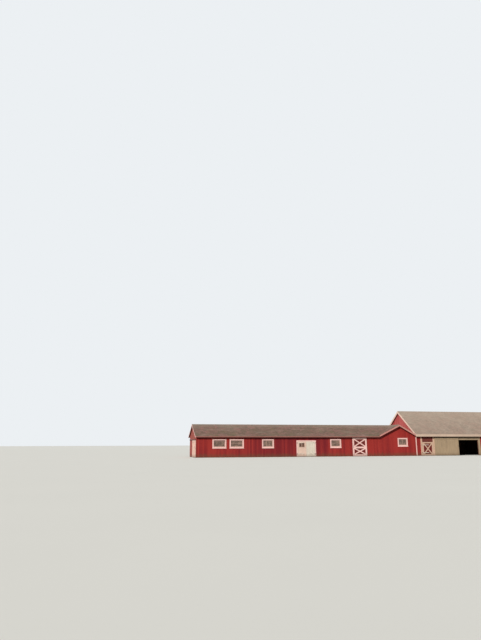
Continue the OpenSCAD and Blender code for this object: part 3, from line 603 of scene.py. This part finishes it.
class Finish(Wiring):
    """One material with a surface shader."""

    def __init__(self, name, **constants):
        self.material = bpy.data.materials.new(name)
        self.material.use_nodes = True
        super().__init__(self.material.node_tree)
        self.shader = self.tree.nodes["Principled BSDF"]
        for key, value in constants.items():
            self.shader.inputs[key.replace("_", " ")].default_value = value

    def connect(self, shade, rough, height=None, strength=0.5, distance=0.003, **others):
        """Leads the colour, the roughness and a height for the bump into the shader."""
        links = self.tree.links
        links.new(shade.socket, self.shader.inputs["Base Color"])
        if isinstance(rough, Wire):
            links.new(rough.socket, self.shader.inputs["Roughness"])
        else:
            self.shader.inputs["Roughness"].default_value = rough
        if height is not None:
            sockets = {"Height": height, "Strength": strength, "Distance": distance}
            links.new(self.node("ShaderNodeBump", {}, sockets).socket, self.shader.inputs["Normal"])
        for key, value in others.items():
            links.new(value.socket, self.shader.inputs[key])
        return self.material


def times(shade, share):
    """A colour with its three values multiplied by one number."""
    return tuple(value * share for value in shade)


def hue(key, share=1.0):
    """One of the user's paints, multiplied by one number."""
    return times(getattr(bpy.context.scene.barn_paints, key), share)


def painted_boards(name, main, deep, bare_share, soil_share):
    """Old paint on upright boards: a tone for each, rain streaks, bare flecks, splashes near the ground."""
    skin = Finish(name, Specular_IOR_Level=0.3)
    grain = skin.cloud(1.0, 5.0, (34.0, 34.0, 0.9), 0.3)
    streak = skin.cloud(1.0, 3.0, (6.0, 6.0, 0.35))
    patch = skin.cloud(0.45, 4.0)
    slow = skin.cloud(0.13, 1.0, (1.0, 1.0, 0.6))
    tone = skin.tone()
    share = skin.ramp(tone * 0.35 + patch * 0.4 + streak * 0.3 + slow * 1.5, 0.95, 1.65)
    shade = skin.mix(share, deep, main)
    light = skin.ramp(grain * 0.5 + tone * 0.3 + streak * 0.2, 0.25, 0.95)
    shade = skin.mix(light * 0.3, shade, tuple(value * 1.5 + 0.02 for value in main))
    flecks = skin.ramp(skin.cloud(1.0, 6.0, (52.0, 52.0, 2.4), 0.6) + streak * 0.3, 0.78, 0.86)
    shade = skin.mix(flecks * bare_share, shade, hue("bare"))
    high = skin.axis(2)
    splash = 1 - skin.ramp(high + skin.cloud(1.0, 3.0, (5.0, 5.0, 2.0)) * 0.6, 0.35, 0.85)
    shade = skin.mix(splash * 0.55 * soil_share, shade, hue("soil"))
    rough = 0.62 + grain * 0.3
    height = grain * 0.6 + flecks * -0.5
    return skin.connect(shade, rough, height, 0.5, 0.0015)


def painted_trim(name, main, wear, stain):
    """Brushed paint on planed boards, with hairline cracks down to the wood and grey rain stains."""
    skin = Finish(name, Specular_IOR_Level=0.35)
    brush = skin.cloud(1.0, 4.0, (18.0, 18.0, 9.0), 0.4)
    cracks = skin.ramp(skin.cloud(1.0, 6.0, (70.0, 70.0, 16.0), 1.2), 0.64, 0.7)
    rain = skin.cloud(1.0, 3.0, (7.0, 7.0, 0.8))
    patch = skin.cloud(0.8, 3.0)
    tone = skin.tone()
    light = tuple(min(1.0, value) for value in times(main, 1.08))
    clean = skin.ramp(patch * 0.6 + brush * 0.4 + tone * 0.12, 0.35, 0.66)
    shade = skin.mix(clean, times(main, 0.84), main)
    shade = skin.mix(skin.ramp(brush, 0.5, 0.75) * 0.5, shade, light)
    shade = skin.mix(skin.ramp(rain, 0.52, 0.8) * stain, shade, hue("bare"))
    shade = skin.mix(cracks * wear, shade, hue("bare"))
    low = 1 - skin.ramp(skin.axis(2) + rain * 0.5, 0.3, 0.7)
    shade = skin.mix(low * 0.45, shade, hue("soil"))
    return skin.connect(shade, 0.5 + brush * 0.3, brush * 0.5 + cracks * -0.7, 0.45, 0.0012)


def bare_boards(name, bands, width):
    """Unpainted sawn boards, each with its own tone and a dark joint.

    The coordinates times bands are added up, and the sum is cut into boards of one width.
    """
    skin = Finish(name, Specular_IOR_Level=0.2)
    run = skin.axis(0) * bands[0] + skin.axis(1) * bands[1] + skin.axis(2) * bands[2]
    band = run / width
    cell = skin.math("FLOOR", band)
    tone = skin.chance(cell)
    joint = skin.ramp(skin.math("ABSOLUTE", band - cell - 0.5), 0.465, 0.49)
    grain = skin.cloud(1.0, 5.0, (30.0, 30.0, 1.6) if bands[2] == 0 else (3.0, 3.0, 40.0), 0.5)
    shade = skin.mix(skin.ramp(tone * 0.55 + grain * 0.6, 0.2, 1.0), hue("inside", 0.5), hue("inside"))
    shade = skin.mix(skin.ramp(skin.cloud(0.9, 3.0), 0.5, 0.75) * 0.5, shade, hue("bare"))
    shade = skin.mix(joint * 0.85, shade, (0.012, 0.009, 0.007))
    return skin.connect(shade, 0.72 + grain * 0.2, grain * 0.4 - joint, 0.6, 0.004)


def shingle_skin(name, main, second, growth, pale, stripes, flow, low, high):
    """Mineral shingles: a tone for each tab, large patches, growth, granules, washed streaks, a paler ridge.

    The streaks are noise whose coordinates are multiplied by flow. The roof turns paler from low to high.
    """
    skin = Finish(name, Specular_IOR_Level=0.2)
    tone = skin.tone()
    grit = skin.cloud(260.0, 2.0)
    fine = skin.cloud(9.0, 4.0)
    patch = skin.cloud(0.55, 4.0, (1.0, 1.6, 1.6), 0.3)
    wash = skin.cloud(1.0, 3.0, flow)
    shade = skin.mix(skin.ramp(patch * 0.6 + fine * 0.3 + tone * 0.12, 0.42, 0.6), main, second)
    darker = skin.mix(skin.ramp(tone + fine * 0.4, 0.1, 1.3), times(main, 0.66), shade)
    shade = skin.mix(0.75, shade, darker)
    moss = skin.ramp(skin.cloud(1.4, 5.0, (1.0, 1.0, 1.0), 0.5) + fine * 0.3, 0.68, 0.86)
    shade = skin.mix(moss * growth, shade, hue("olive"))
    shade = skin.mix(skin.ramp(wash, 0.48, 0.7) * stripes, shade, pale)
    rise = skin.ramp(skin.axis(2), low, high)
    shade = skin.mix(rise * 0.4, shade, pale)
    shade = skin.mix(skin.ramp(grit, 0.55, 0.7) * 0.3, shade, times(pale, 1.35))
    shade = skin.mix((1 - skin.ramp(grit, 0.3, 0.45)) * 0.35, shade, times(main, 0.4))
    return skin.connect(shade, 0.82 + grit * 0.15, grit * 0.6 + fine * 0.4, 0.5, 0.002)


def old_iron(name):
    """Black iron with rust that follows a blotchy noise and is rougher than the metal."""
    skin = Finish(name, Specular_IOR_Level=0.5)
    blotch = skin.cloud(7.0, 5.0, (1.0, 1.0, 1.0), 0.8)
    fine = skin.cloud(90.0, 3.0)
    rust = skin.ramp(blotch + fine * 0.25, 0.6, 0.78)
    shade = skin.mix(rust * 0.85, hue("iron"), hue("rust"))
    shade = skin.mix(skin.ramp(fine, 0.5, 0.75) * 0.3, shade, hue("iron", 1.6))
    metal = 0.55 - rust * 0.5
    return skin.connect(shade, 0.45 + rust * 0.4, fine + rust * 0.6, 0.4, 0.0008, Metallic=metal)


def painted_iron(name, main):
    """Iron under paint, with rust that bleeds through in small blots."""
    skin = Finish(name, Specular_IOR_Level=0.4)
    blots = skin.cloud(14.0, 5.0, (1.0, 1.0, 0.7), 0.6)
    fine = skin.cloud(80.0, 3.0)
    rust = skin.ramp(blots + fine * 0.2, 0.62, 0.76)
    shade = skin.mix(fine * 0.35, main, times(main, 0.75))
    shade = skin.mix(rust * 0.8, shade, hue("rust"))
    return skin.connect(shade, 0.5 + rust * 0.35, fine * 0.5 + rust, 0.4, 0.0008)


def old_glass(name, main, dusty):
    """Old glass: dust gathers in soft blotches and lets less light through."""
    skin = Finish(name, IOR=1.5, Specular_IOR_Level=0.5)
    blotch = skin.cloud(2.6, 4.0)
    fine = skin.cloud(30.0, 3.0)
    dust = skin.ramp(blotch * 0.8 + fine * 0.3, 0.42, 0.75)
    # The main colour is painted shade and reflection; the dusty colour is real dust.
    shade = skin.mix(dust, main, dusty)
    ripple = skin.cloud(5.0, 1.0)
    return skin.connect(shade, 0.12 + dust * 0.4, ripple, 0.12, 0.004, Alpha=0.82 + dust * 0.15)


# Painted wall boards: finish, name, paint, paint where it is deep and its share, bare flecks, splashes.
WALL_FINISHES = (
    ("red", "Red boards", "red", "crimson", 1.0, 0.18, 1.0),
    # Painted light: the tall barn's left side has a paler red, as if it were lit more than the front.
    ("faded", "Faded red boards", "faded", "red", 1.0, 0.3, 1.0),
    ("dark", "Dark red boards", "dark_red", "dark_red", 0.6, 0.18, 1.0),
    ("end", "Worn red boards", "end_red", "end_worn", 1.0, 0.4, 1.0),
    ("upper", "Brown red boards", "upper_red", "upper_red", 0.7, 0.18, 1.0),
    # Painted shade: the cream wall boards carry the darkened cream, painted shade for the tall barn's eave.
    ("pale_wall", "Cream wall boards", "cream", "cream", 0.72, 0.3, 0.8),
)

# Painted trim: finish and paint, name, wear along the cracks, rain stains.
TRIM_FINISHES = (
    ("white", "White boards", 0.28, 0.2),
    # Painted light: the end door's white is a darker copy of the trim's white.
    ("end_white", "White door boards", 0.28, 0.2),
    ("gable", "Rake boards of the tall barn", 0.28, 0.2),
    ("rake", "Pinkish boards", 0.28, 0.2),
    ("worn_white", "Worn white boards", 0.45, 0.4),
    # Painted shade: the sashes' duller white stands partly for the shade in the window's recess.
    ("sash", "Sashes", 0.45, 0.3),
    ("leaf", "Pale leaf boards", 0.25, 0.12),
    ("left_leaf", "Pinkish leaf boards", 0.25, 0.12),
    ("fascia", "Eave boards of the tall barn", 0.3, 0.3),
    # Painted shade: the bay door and header board carry the darkened cream as well.
    ("cream", "Cream boards", 0.45, 0.5),
    ("eave", "Eave boards", 0.5, 0.4),
)

NODE_FINISHES = {
    "inside": (
        "front_wall", "front_wall_headers", "wing_back_wall", "end_wall", "end_wall_top",
        "barn_front_wall", "barn_front_headers", "barn_left_wall", "barn_right_wall", "barn_back_wall",
    ),
    "sheathing": (
        "wing_roof_front", "wing_roof_back", "wing_roof_corner", "cross_roof_left", "cross_roof_right",
        "barn_roof_front", "barn_roof_back",
    ),
    "brown": ("wing_ridge_cap", "cross_ridge_cap"),
    "tan": ("barn_ridge_cap",),
    "eave": ("wing_eave_boards",),
    "white": (
        "wing_rake_boards", "corner_board", "window_casings", "stable_door_casing", "brace_door_frame",
    ),
    "end_white": ("end_door",),
    "worn_white": ("half_door_casing", "half_door_frame"),
    "sash": ("window_sashes",),
    "gable": ("barn_rake_boards",),
    "rake": ("cross_rake_boards",),
    "cream": ("bay_header_board", "bay_door"),
    "fascia": ("barn_eave_boards",),
    "strap": ("left_leaf_hinges", "right_leaf_hinges", "half_door_hinges"),
    "leaf": ("right_leaf",),
    "left_leaf": ("left_leaf",),
    "dark": ("brace_door_boards", "half_door_boards"),
    "upper": ("half_door_upper",),
    "glass": ("window_glass",),
    "dark_glass": ("left_leaf_glass",),
    "iron": (
        "sliding_door_tracks", "hinge_pins", "brace_door_hangers", "end_door_hangers", "bay_door_hangers",
    ),
}

FINISHES = {}


def finishes():
    """All finishes by name, made on the first call."""
    if FINISHES:
        return FINISHES
    for key, name, main, deep, share, bare, soil in WALL_FINISHES:
        FINISHES[key] = painted_boards(name, hue(main), hue(deep, share), bare, soil)
    for key, name, wear, stain in TRIM_FINISHES:
        FINISHES[key] = painted_trim(name, hue(key), wear, stain)
    wing_top = box("wing_roof_front")[1][2]
    barn_low, barn_high = box("barn_roof_front")
    pinkish = tuple(value * share for value, share in zip(hue("tan"), (0.94, 0.84, 0.84)))
    FINISHES.update({
        "strap": painted_iron("Painted straps", hue("leaf")),
        "inside": bare_boards("Inside of the walls", (1.0, 1.0, 0.0), 0.19),
        "sheathing": bare_boards("Boards under the shingles", (0.0, 0.0, 1.0), 0.075),
        "brown": shingle_skin("Brown shingles", hue("brown"), hue("mauve"), 0.45, hue("pale", 0.7), 0.25,
                              (0.5, 1.6, 2.4), wing_top - 0.5, wing_top),
        "tan": shingle_skin("Tan shingles", hue("tan"), pinkish, 0.14, hue("pale"), 0.22,
                            (2.2, 0.9, 0.9), barn_low[2], barn_high[2] + 0.6),
        "iron": old_iron("Old iron"),
        # The panes' colours hold painted shade and reflection; the dust blotches are real.
        "glass": old_glass("Old glass", hue("pane"), hue("dust")),
        "dark_glass": old_glass("Dark glass", hue("dark_pane"), hue("dark_pane", 1.7)),
    })
    return FINISHES


def casing_holes(side):
    """The part of the wall that each window's casing covers, as start, end, lower and upper place."""
    keep = on_side(side)
    low, high = solids("window_casings", 0, keep)
    spots = points("window_casings")
    spots = spots[keep(spots)]
    holes = []
    for a, b in zip(low, high):
        inside = (spots[:, 0] > a[0] - NEAR) & (spots[:, 0] < b[0] + NEAR)
        head = spots[inside & (spots[:, 2] > b[2] - NEAR)]
        holes.append((head[:, 0].min(), head[:, 0].max(), a[2], b[2]))
    return holes


def valley_reach(node, foot, ridge):
    """How far from the ridge a node's nearest corner is at the valley's foot."""
    spots = points(node)
    return np.abs(spots[np.abs(spots[:, 0] - foot) < NEAR][:, 1] - ridge).min()


class BARN_OT_wing_boards(Operator):
    """Put upright boards on the wing's four sides"""

    bl_idname = "barn.wing_boards"
    bl_label = "Wing boards"

    def execute(self, context):
        front, front_high = box("front_wall")
        back = box("wing_back_wall")[1]
        near, far = Slope("wing_roof_front", 1), Slope("wing_roof_back", 1)
        left, right = Slope("cross_roof_left", 0), Slope("cross_roof_right", 0)
        turns = (left.low_at, left.high_at)
        header_low, header_high = solids("front_wall_headers", 0)
        casing_low, casing_high = box("stable_door_casing")
        corner = box("corner_board")[0][0]
        doors = [(casing_low[0], casing_high[0], BELOW, casing_high[2])]
        doors += [
            (low[0], high[0], BELOW, low[2])
            for low, high in zip(header_low, header_high)
            if high[0] < casing_low[0] or low[0] > casing_high[0]
        ]

        def top(places):
            """Under the wing's eave, and under the cross gable where it stands."""
            eave = near.under(front[1])
            cross = np.minimum(left.under(places), right.under(places))
            cross = np.maximum(cross, np.where(places < left.high_at, eave, BELOW))
            return np.where(places < left.low_at, eave, cross) - EAVE_GAP

        start = front[0] - CORNER_LAP
        holes = doors + casing_holes(-1)
        wall_boards("front_wall_boards", (0, front[1], -1), (start, corner), top, 11, holes, turns)
        holes = casing_holes(1)
        wall_boards("back_wall_boards", (0, back[1], 1), (start, front_high[0]), top, 12, holes, turns)
        leaf_low, leaf_high = solids("end_wall", 1)
        door = [(leaf_high[0][1], leaf_low[1][1], BELOW, box("end_wall_top")[0][2])]
        wall_boards("end_wall_boards", (1, front[0], -1), (front[1], back[1]), under_gable(near, far), 13,
                    door, (near.high_at,), "end")
        return {"FINISHED"}


class BARN_OT_barn_boards(Operator):
    """Put upright boards on the tall barn's four sides"""

    bl_idname = "barn.barn_boards"
    bl_label = "Tall barn boards"

    def execute(self, context):
        low, high = box("barn_left_wall")
        end = box("barn_right_wall")[1]
        front, back = Slope("barn_roof_front", 1), Slope("barn_roof_back", 1)
        casing_low, casing_high = box("half_door_casing")
        board_low, board_high = box("bay_header_board")
        feet = points("bay_header_board")
        post = feet[feet[:, 2] < board_low[2] + NEAR][:, 0].max()
        bay_low = solids("barn_front_headers", 0)[0][1][2]
        door = [(casing_low[0], casing_high[0], BELOW, casing_high[2])]
        bay = [(board_low[0], post, BELOW, board_high[2]), (post, board_high[0], bay_low, board_high[2])]
        flat = level(front.under(low[1]) - EAVE_GAP)
        gable = under_gable(front, back)
        turn = (front.high_at,)
        last = end[0] + CORNER_LAP
        for word, span, seed, holes, finish, slot in (
            ("left", (low[0], casing_high[0]), 21, door, "red", "red_boards"),
            ("pale", (casing_high[0], board_high[0]), 25, bay, "pale_wall", "cream_boards"),
            ("right", (board_high[0], last), 26, (), "red", "red_boards"),
        ):
            name = "barn_front_boards_" + word
            wall_boards(name, (0, low[1], -1), span, flat, seed, holes, (), finish, slot)
        wall_boards("barn_back_boards", (0, high[1], 1), (low[0], last), flat, 22)
        wall_boards("barn_right_boards", (1, end[0], 1), (low[1], high[1]), gable, 23, (), turn)
        cross = Slope("cross_roof_right", 0)
        roof_end = box("cross_roof_right")[1][1]
        wing_end = box("wing_back_wall")[1][1]
        seam = cross.top(low[0]) + EAVE_GAP
        under = cross.under(low[0]) - SEAM_GAP
        holes = [(low[1], wing_end, BELOW, seam), (wing_end, roof_end, under, seam)]
        # Painted light: the left side gets the paler red, as if it were lit more than the front.
        wall_boards("barn_left_boards", (1, low[0], -1), (low[1], high[1]), gable, 24, holes, turn, "faded")
        return {"FINISHED"}


class BARN_OT_wing_shingles(Operator):
    """Lay shingles on the wing and the cross gable, cut at the valleys"""

    bl_idname = "barn.wing_shingles"
    bl_label = "Wing shingles"

    def execute(self, context):
        course = context.scene.barn_shingles.wing_course
        edge_low, edge_high = box("wing_eave_boards")
        rake = level(box("wing_rake_boards")[0][0] + WING_INSET)
        left, right = Slope("cross_roof_left", 0), Slope("cross_roof_right", 0)
        cross_low, cross_high = box("cross_rake_boards")
        for name, node, edge, seed in (
            ("wing_shingles_front", "wing_roof_front", edge_low[1] - DRIP, 50),
            ("wing_shingles_back", "wing_roof_back", edge_high[1] + DRIP, 49),
        ):
            slope = Slope(node, 1)
            reach = valley_reach(node, left.low_at, slope.high_at)

            def valley(places):
                """The slope's end on the straight line from the valley's foot to the ridge."""
                share = np.minimum(np.abs(places - slope.high_at) / reach, 1)
                return left.high_at - (left.high_at - left.low_at) * share

            shingles(name, slope, edge, rake, valley, course, "brown", seed)
        middle = wing_middle()
        front, back = cross_low[1] - RAKE_LAP, cross_high[1] + RAKE_LAP
        for name, node, side, rim, seed in (
            ("cross_shingles_left", "cross_roof_left", -1, front, 60),
            ("cross_shingles_corner", "wing_roof_corner", 1, back, 62),
        ):
            slope = Slope(node, 0)
            reach = valley_reach(node, slope.low_at, middle)

            def valley(places):
                """The slope's end on the straight line from the valley's foot to the ridge."""
                share = (slope.high_at - places) / (slope.high_at - slope.low_at)
                return middle + side * reach * np.clip(share, 0, 1)

            first, last = (level(rim), valley) if side < 0 else (valley, level(rim))
            shingles(name, slope, slope.low_at, first, last, course, "brown", seed)
        spots = points("cross_roof_right")
        notch = spots[(spots[:, 1] > cross_low[1] + 0.1) & (spots[:, 1] < middle)]
        notch_x, notch_y = notch[:, 0].min(), notch[:, 1].max()

        def near(places):
            """The slope's front end, which steps back round the tall barn's overhang."""
            return np.where(places > notch_x - 0.02, notch_y, front)

        shingles("cross_shingles_right", right, right.low_at, near, level(back), course, "brown", 51)
        return {"FINISHED"}


class BARN_OT_barn_shingles(Operator):
    """Lay shingles on the tall barn"""

    bl_idname = "barn.barn_shingles"
    bl_label = "Tall barn shingles"

    def execute(self, context):
        course = context.scene.barn_shingles.barn_course
        low, high = box("barn_eave_boards")
        low, high = low + BARN_INSET, high - BARN_INSET
        first, last = level(low[0]), level(high[0])
        shingles("barn_shingles_front", Slope("barn_roof_front", 1), low[1], first, last, course, "tan", 80)
        shingles("barn_shingles_back", Slope("barn_roof_back", 1), high[1], first, last, course, "tan", 79)
        return {"FINISHED"}


class BARN_OT_ridge_tabs(Operator):
    """Fold tabs over the three ridges in place of their plain caps"""

    bl_idname = "barn.ridge_tabs"
    bl_label = "Ridge tabs"

    def execute(self, context):
        wing = (Slope("wing_roof_front", 1), Slope("wing_roof_back", 1))
        cross = (Slope("cross_roof_left", 0), Slope("cross_roof_right", 0))
        barn = (Slope("barn_roof_front", 1), Slope("barn_roof_back", 1))
        ridge_tabs("wing_ridge_tabs", "wing_ridge_cap", 0, wing, "brown", 71)
        ridge_tabs("cross_ridge_tabs", "cross_ridge_cap", 1, cross, "brown", 72)
        ridge_tabs("barn_ridge_tabs", "barn_ridge_cap", 0, barn, "tan", 73)
        return {"FINISHED"}


class BARN_OT_window_bars(Operator):
    """Divide the windows with thin bars"""

    bl_idname = "barn.window_bars"
    bl_label = "Window bars"

    def execute(self, context):
        sizes = context.scene.barn_fittings
        for side, word in GLAZED_SIDES:
            low, high = solids("window_glass", 0, on_side(side))
            for kind, across, run in (("uprights", 0, 2), ("rails", 2, 0)):
                bars = BARS[BARS[:, 2] == across]
                index = bars[:, 0].astype(int)
                corner, other = low[index], high[index]
                middle = corner + (other - corner) * bars[:, 1:2]
                corner[:, across] = middle[:, across] - sizes.bar / 2
                other[:, across] = middle[:, across] + sizes.bar / 2
                depth = (corner[:, 1] + other[:, 1]) / 2
                corner[:, 1] = depth - sizes.bar_deep / 2
                other[:, 1] = depth + sizes.bar_deep / 2
                name = "window_%s_%s" % (kind, word)
                beams(name, corner, other, run, BAR_BEVEL, "building", "sash", "white_boards", 3)
        return {"FINISHED"}


class BARN_OT_door_planks(Operator):
    """Lay planks on the fields of all doors"""

    bl_idname = "barn.door_planks"
    bl_label = "Door planks"

    def execute(self, context):
        rows = (
            ("left_leaf", "left_leaf_body", "left_leaf", "plain_leaf", 0, 1),
            ("right_leaf", "right_leaf_body", "leaf", "plain_leaf", 0, 1),
            ("brace_door_boards", "brace_door_body", "dark", "dark_boards", 0, 0),
            ("half_door_boards", "half_door_body", "dark", "dark_boards", 0, 0),
            ("half_door_upper", "building", "upper", "dark_boards", 0, 0),
            ("end_door", "end_door_body", "end_white", "white_boards", 1, 1),
            ("bay_door", "bay_door_body", "cream", "cream_boards", 0, 1),
        )
        for seed, (node, body, finish, slot, along, step) in enumerate(rows, 81):
            low, high = box(node)
            face = (along, levels(node, 1 - along)[step], -1)
            low, high = low + PLANK_INSET, high - PLANK_INSET
            holes = self.pane(node) if node == "left_leaf" else ()
            span, top = (low[along], high[along]), level(high[2])
            boards(node + "_planks", body, finish, slot, face, span, low[2], top, seed, holes, planks=True)
        return {"FINISHED"}

    def pane(self, node):
        """The hole in the leaf's planks, between its upright frame boards, for its pane and the trim."""
        spots = points(node)
        spots = spots[spots[:, 1] < spots[:, 1].min() + NEAR]
        edges = np.unique(np.round(spots[:, 0], 4))
        low, high = box(node + "_glass")
        return [(edges[1] - STILE_LAP, edges[-2] + STILE_LAP, low[2] - PANE_TRIM, high[2] + PANE_TRIM)]


class BARN_OT_bolt_heads(Operator):
    """Put bolt heads on the strap hinges and on the braced door's frame"""

    bl_idname = "barn.bolt_heads"
    bl_label = "Bolt heads"

    def execute(self, context):
        for leaf, casing in (
            ("left_leaf", "stable_door_casing"),
            ("right_leaf", "stable_door_casing"),
            ("half_door", "half_door_casing"),
        ):
            low, high = solids(leaf + "_hinges", 2)
            pin, tip = (high, low) if leaf == "right_leaf" else (low, high)
            place = pin[:, :1] + (tip - pin)[:, :1] * BOLT_SHARES
            face = np.full(place.shape, box(casing)[0][1] - STRAP_PROUD)
            middle = np.repeat(((low + high) / 2)[:, 2:], len(BOLT_SHARES), 1)
            centres = np.stack([place, face, middle], -1).reshape(-1, 3)
            bolts(leaf + "_hinges_bolts", centres, 1, -1, leaf + "_body", "iron", "iron")
        low, high = box("brace_door_frame")
        inset = context.scene.barn_fittings.frame_bolt
        first, middle, last = low + inset, (low + high) / 2, high - inset
        place, height = np.meshgrid(*((first[axis], middle[axis], last[axis]) for axis in (0, 2)))
        keep = ~((place == middle[0]) & (height != middle[2]))
        centres = np.stack([place[keep], np.full(keep.sum(), low[1] + BOLT_GAP), height[keep]], -1)
        bolts("brace_door_bolts", centres, 1, -1, "brace_door_body", "iron", "iron")
        return {"FINISHED"}


class BARN_OT_node_finishes(Operator):
    """Give every node of the frame its finish"""

    bl_idname = "barn.node_finishes"
    bl_label = "Finishes"

    def execute(self, context):
        given = set()
        for finish, nodes in NODE_FINISHES.items():
            for node in nodes:
                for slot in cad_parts[node].material_slots:
                    slot.material = finishes()[finish]
                given.add(node)
        missing = set(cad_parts) - given
        if missing:
            raise RuntimeError("no finish for " + ", ".join(sorted(missing)))
        return {"FINISHED"}


def lay_floor(scene, stage):
    """A wide floor, pale for the rays that see it, and darker in the light that it throws back."""
    half = 600.0
    mesh = bpy.data.meshes.new("floor")
    corners = ((-half, -half, 0), (half, -half, 0), (half, half, 0), (-half, half, 0))
    mesh.from_pydata(corners, [], [(0, 1, 2, 3)])
    skin = Finish("Floor", Specular_IOR_Level=0.1)
    pale = tuple(stage.floor)
    shade = skin.mix(skin.cloud(0.3, 2.0), times(pale, 0.97), pale)
    shade = skin.mix(skin.seen(), tuple(stage.bounce), shade)
    mesh.materials.append(skin.connect(shade, 0.9))
    floor = bpy.data.objects.new("floor", mesh)
    scene.collection.objects.link(floor)


def light_sky(scene, stage):
    """A soft even light, with a plain backdrop for the rays that see it."""
    scene.world = bpy.data.worlds.new("Backdrop")
    scene.world.use_nodes = True
    sky = Wiring(scene.world.node_tree)
    cool = (0.94, 0.96, 1.0, 1.0)
    soft = sky.node("ShaderNodeBackground", {}, {"Color": cool, "Strength": stage.sky_light})
    plain = sky.node("ShaderNodeBackground", {}, {"Color": (*stage.sky, 1.0), "Strength": 1.0})
    both = sky.node("ShaderNodeMixShader", {}, {0: sky.seen(), 1: soft, 2: plain})
    sky.tree.links.new(both.socket, sky.tree.nodes["World Output"].inputs["Surface"])


def hang_sun(scene, stage):
    """A lamp like a low sun, in front of the barn and to its left."""
    lamp = bpy.data.lights.new("sun", "SUN")
    lamp.energy = stage.sun_light
    lamp.angle = stage.sun_soft
    lamp.color = (1.0, 0.96, 0.9)
    sun = bpy.data.objects.new("sun", lamp)
    toward = Vector((-0.8, -0.77, 0.57))
    sun.matrix_world = toward.to_track_quat("Z", "Y").to_matrix().to_4x4()
    scene.collection.objects.link(sun)


def place_camera(scene, stage):
    """A camera placed from the wing's front corner, turned by its heading, its lift and its lean."""
    lens = bpy.data.cameras.new("camera")
    lens.sensor_fit = "AUTO"
    lens.sensor_width = SENSOR
    lens.lens = stage.focal * SENSOR
    lens.clip_end = 2000
    view = bpy.data.objects.new("camera", lens)
    scene.collection.objects.link(view)
    heading, lift, lean = stage.heading, stage.lift, stage.lean
    ahead = Vector((
        math.sin(heading) * math.cos(lift), math.cos(heading) * math.cos(lift), math.sin(lift)
    ))
    right = Vector((math.cos(heading), -math.sin(heading), 0))
    up = right.cross(ahead)
    across = right * math.cos(lean) + up * math.sin(lean)
    upward = up * math.cos(lean) - right * math.sin(lean)
    corner = box("front_wall")[0]
    eye = Vector((corner[0] - stage.eye_left, corner[1] - stage.eye_back, stage.eye_high))
    view.matrix_world = Matrix((
        (across.x, upward.x, -ahead.x, eye.x),
        (across.y, upward.y, -ahead.y, eye.y),
        (across.z, upward.z, -ahead.z, eye.z),
        (0, 0, 0, 1),
    ))
    scene.camera = view


class BARN_OT_stage(Operator):
    """Set the floor, the lights and the camera"""

    bl_idname = "barn.stage"
    bl_label = "Stage"

    def execute(self, context):
        scene = context.scene
        for step in (lay_floor, light_sky, hang_sun, place_camera):
            step(scene, scene.barn_stage)
        scene.view_settings.view_transform = "Standard"
        return {"FINISHED"}


OPERATORS = (
    BARN_OT_wing_boards, BARN_OT_barn_boards, BARN_OT_wing_shingles, BARN_OT_barn_shingles,
    BARN_OT_ridge_tabs, BARN_OT_window_bars, BARN_OT_door_planks, BARN_OT_bolt_heads,
    BARN_OT_node_finishes, BARN_OT_stage,
)

GROUPS = {
    "barn_boards": BoardSizes,
    "barn_shingles": ShingleSizes,
    "barn_fittings": FittingSizes,
    "barn_paints": Paints,
    "barn_stage": StageSettings,
}


class BARN_PT_sidebar(Panel):
    """Sizes, paints and steps of the barn"""

    bl_label = "Long red barn"
    bl_space_type = "VIEW_3D"
    bl_region_type = "UI"
    bl_category = "Barn"

    def draw(self, context):
        for name, group in GROUPS.items():
            part = self.layout.box()
            for key in group.__annotations__:
                part.prop(getattr(context.scene, name), key)
        for step in OPERATORS:
            self.layout.operator(step.bl_idname)


def register():
    """Registers the groups, the operators and the panel."""
    for name, group in GROUPS.items():
        bpy.utils.register_class(group)
        setattr(bpy.types.Scene, name, PointerProperty(type=group))
    for step in OPERATORS:
        bpy.utils.register_class(step)
    bpy.utils.register_class(BARN_PT_sidebar)


def unregister():
    """Takes all of them away again."""
    bpy.utils.unregister_class(BARN_PT_sidebar)
    for step in reversed(OPERATORS):
        bpy.utils.unregister_class(step)
    for name, group in GROUPS.items():
        delattr(bpy.types.Scene, name)
        bpy.utils.unregister_class(group)


def main():
    """Builds everything in order."""
    register()
    bpy.ops.barn.wing_boards()
    bpy.ops.barn.barn_boards()
    bpy.ops.barn.wing_shingles()
    bpy.ops.barn.barn_shingles()
    bpy.ops.barn.ridge_tabs()
    bpy.ops.barn.window_bars()
    bpy.ops.barn.door_planks()
    bpy.ops.barn.bolt_heads()
    bpy.ops.barn.node_finishes()
    bpy.ops.barn.stage()
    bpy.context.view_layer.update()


if __name__ == "__main__":
    main()
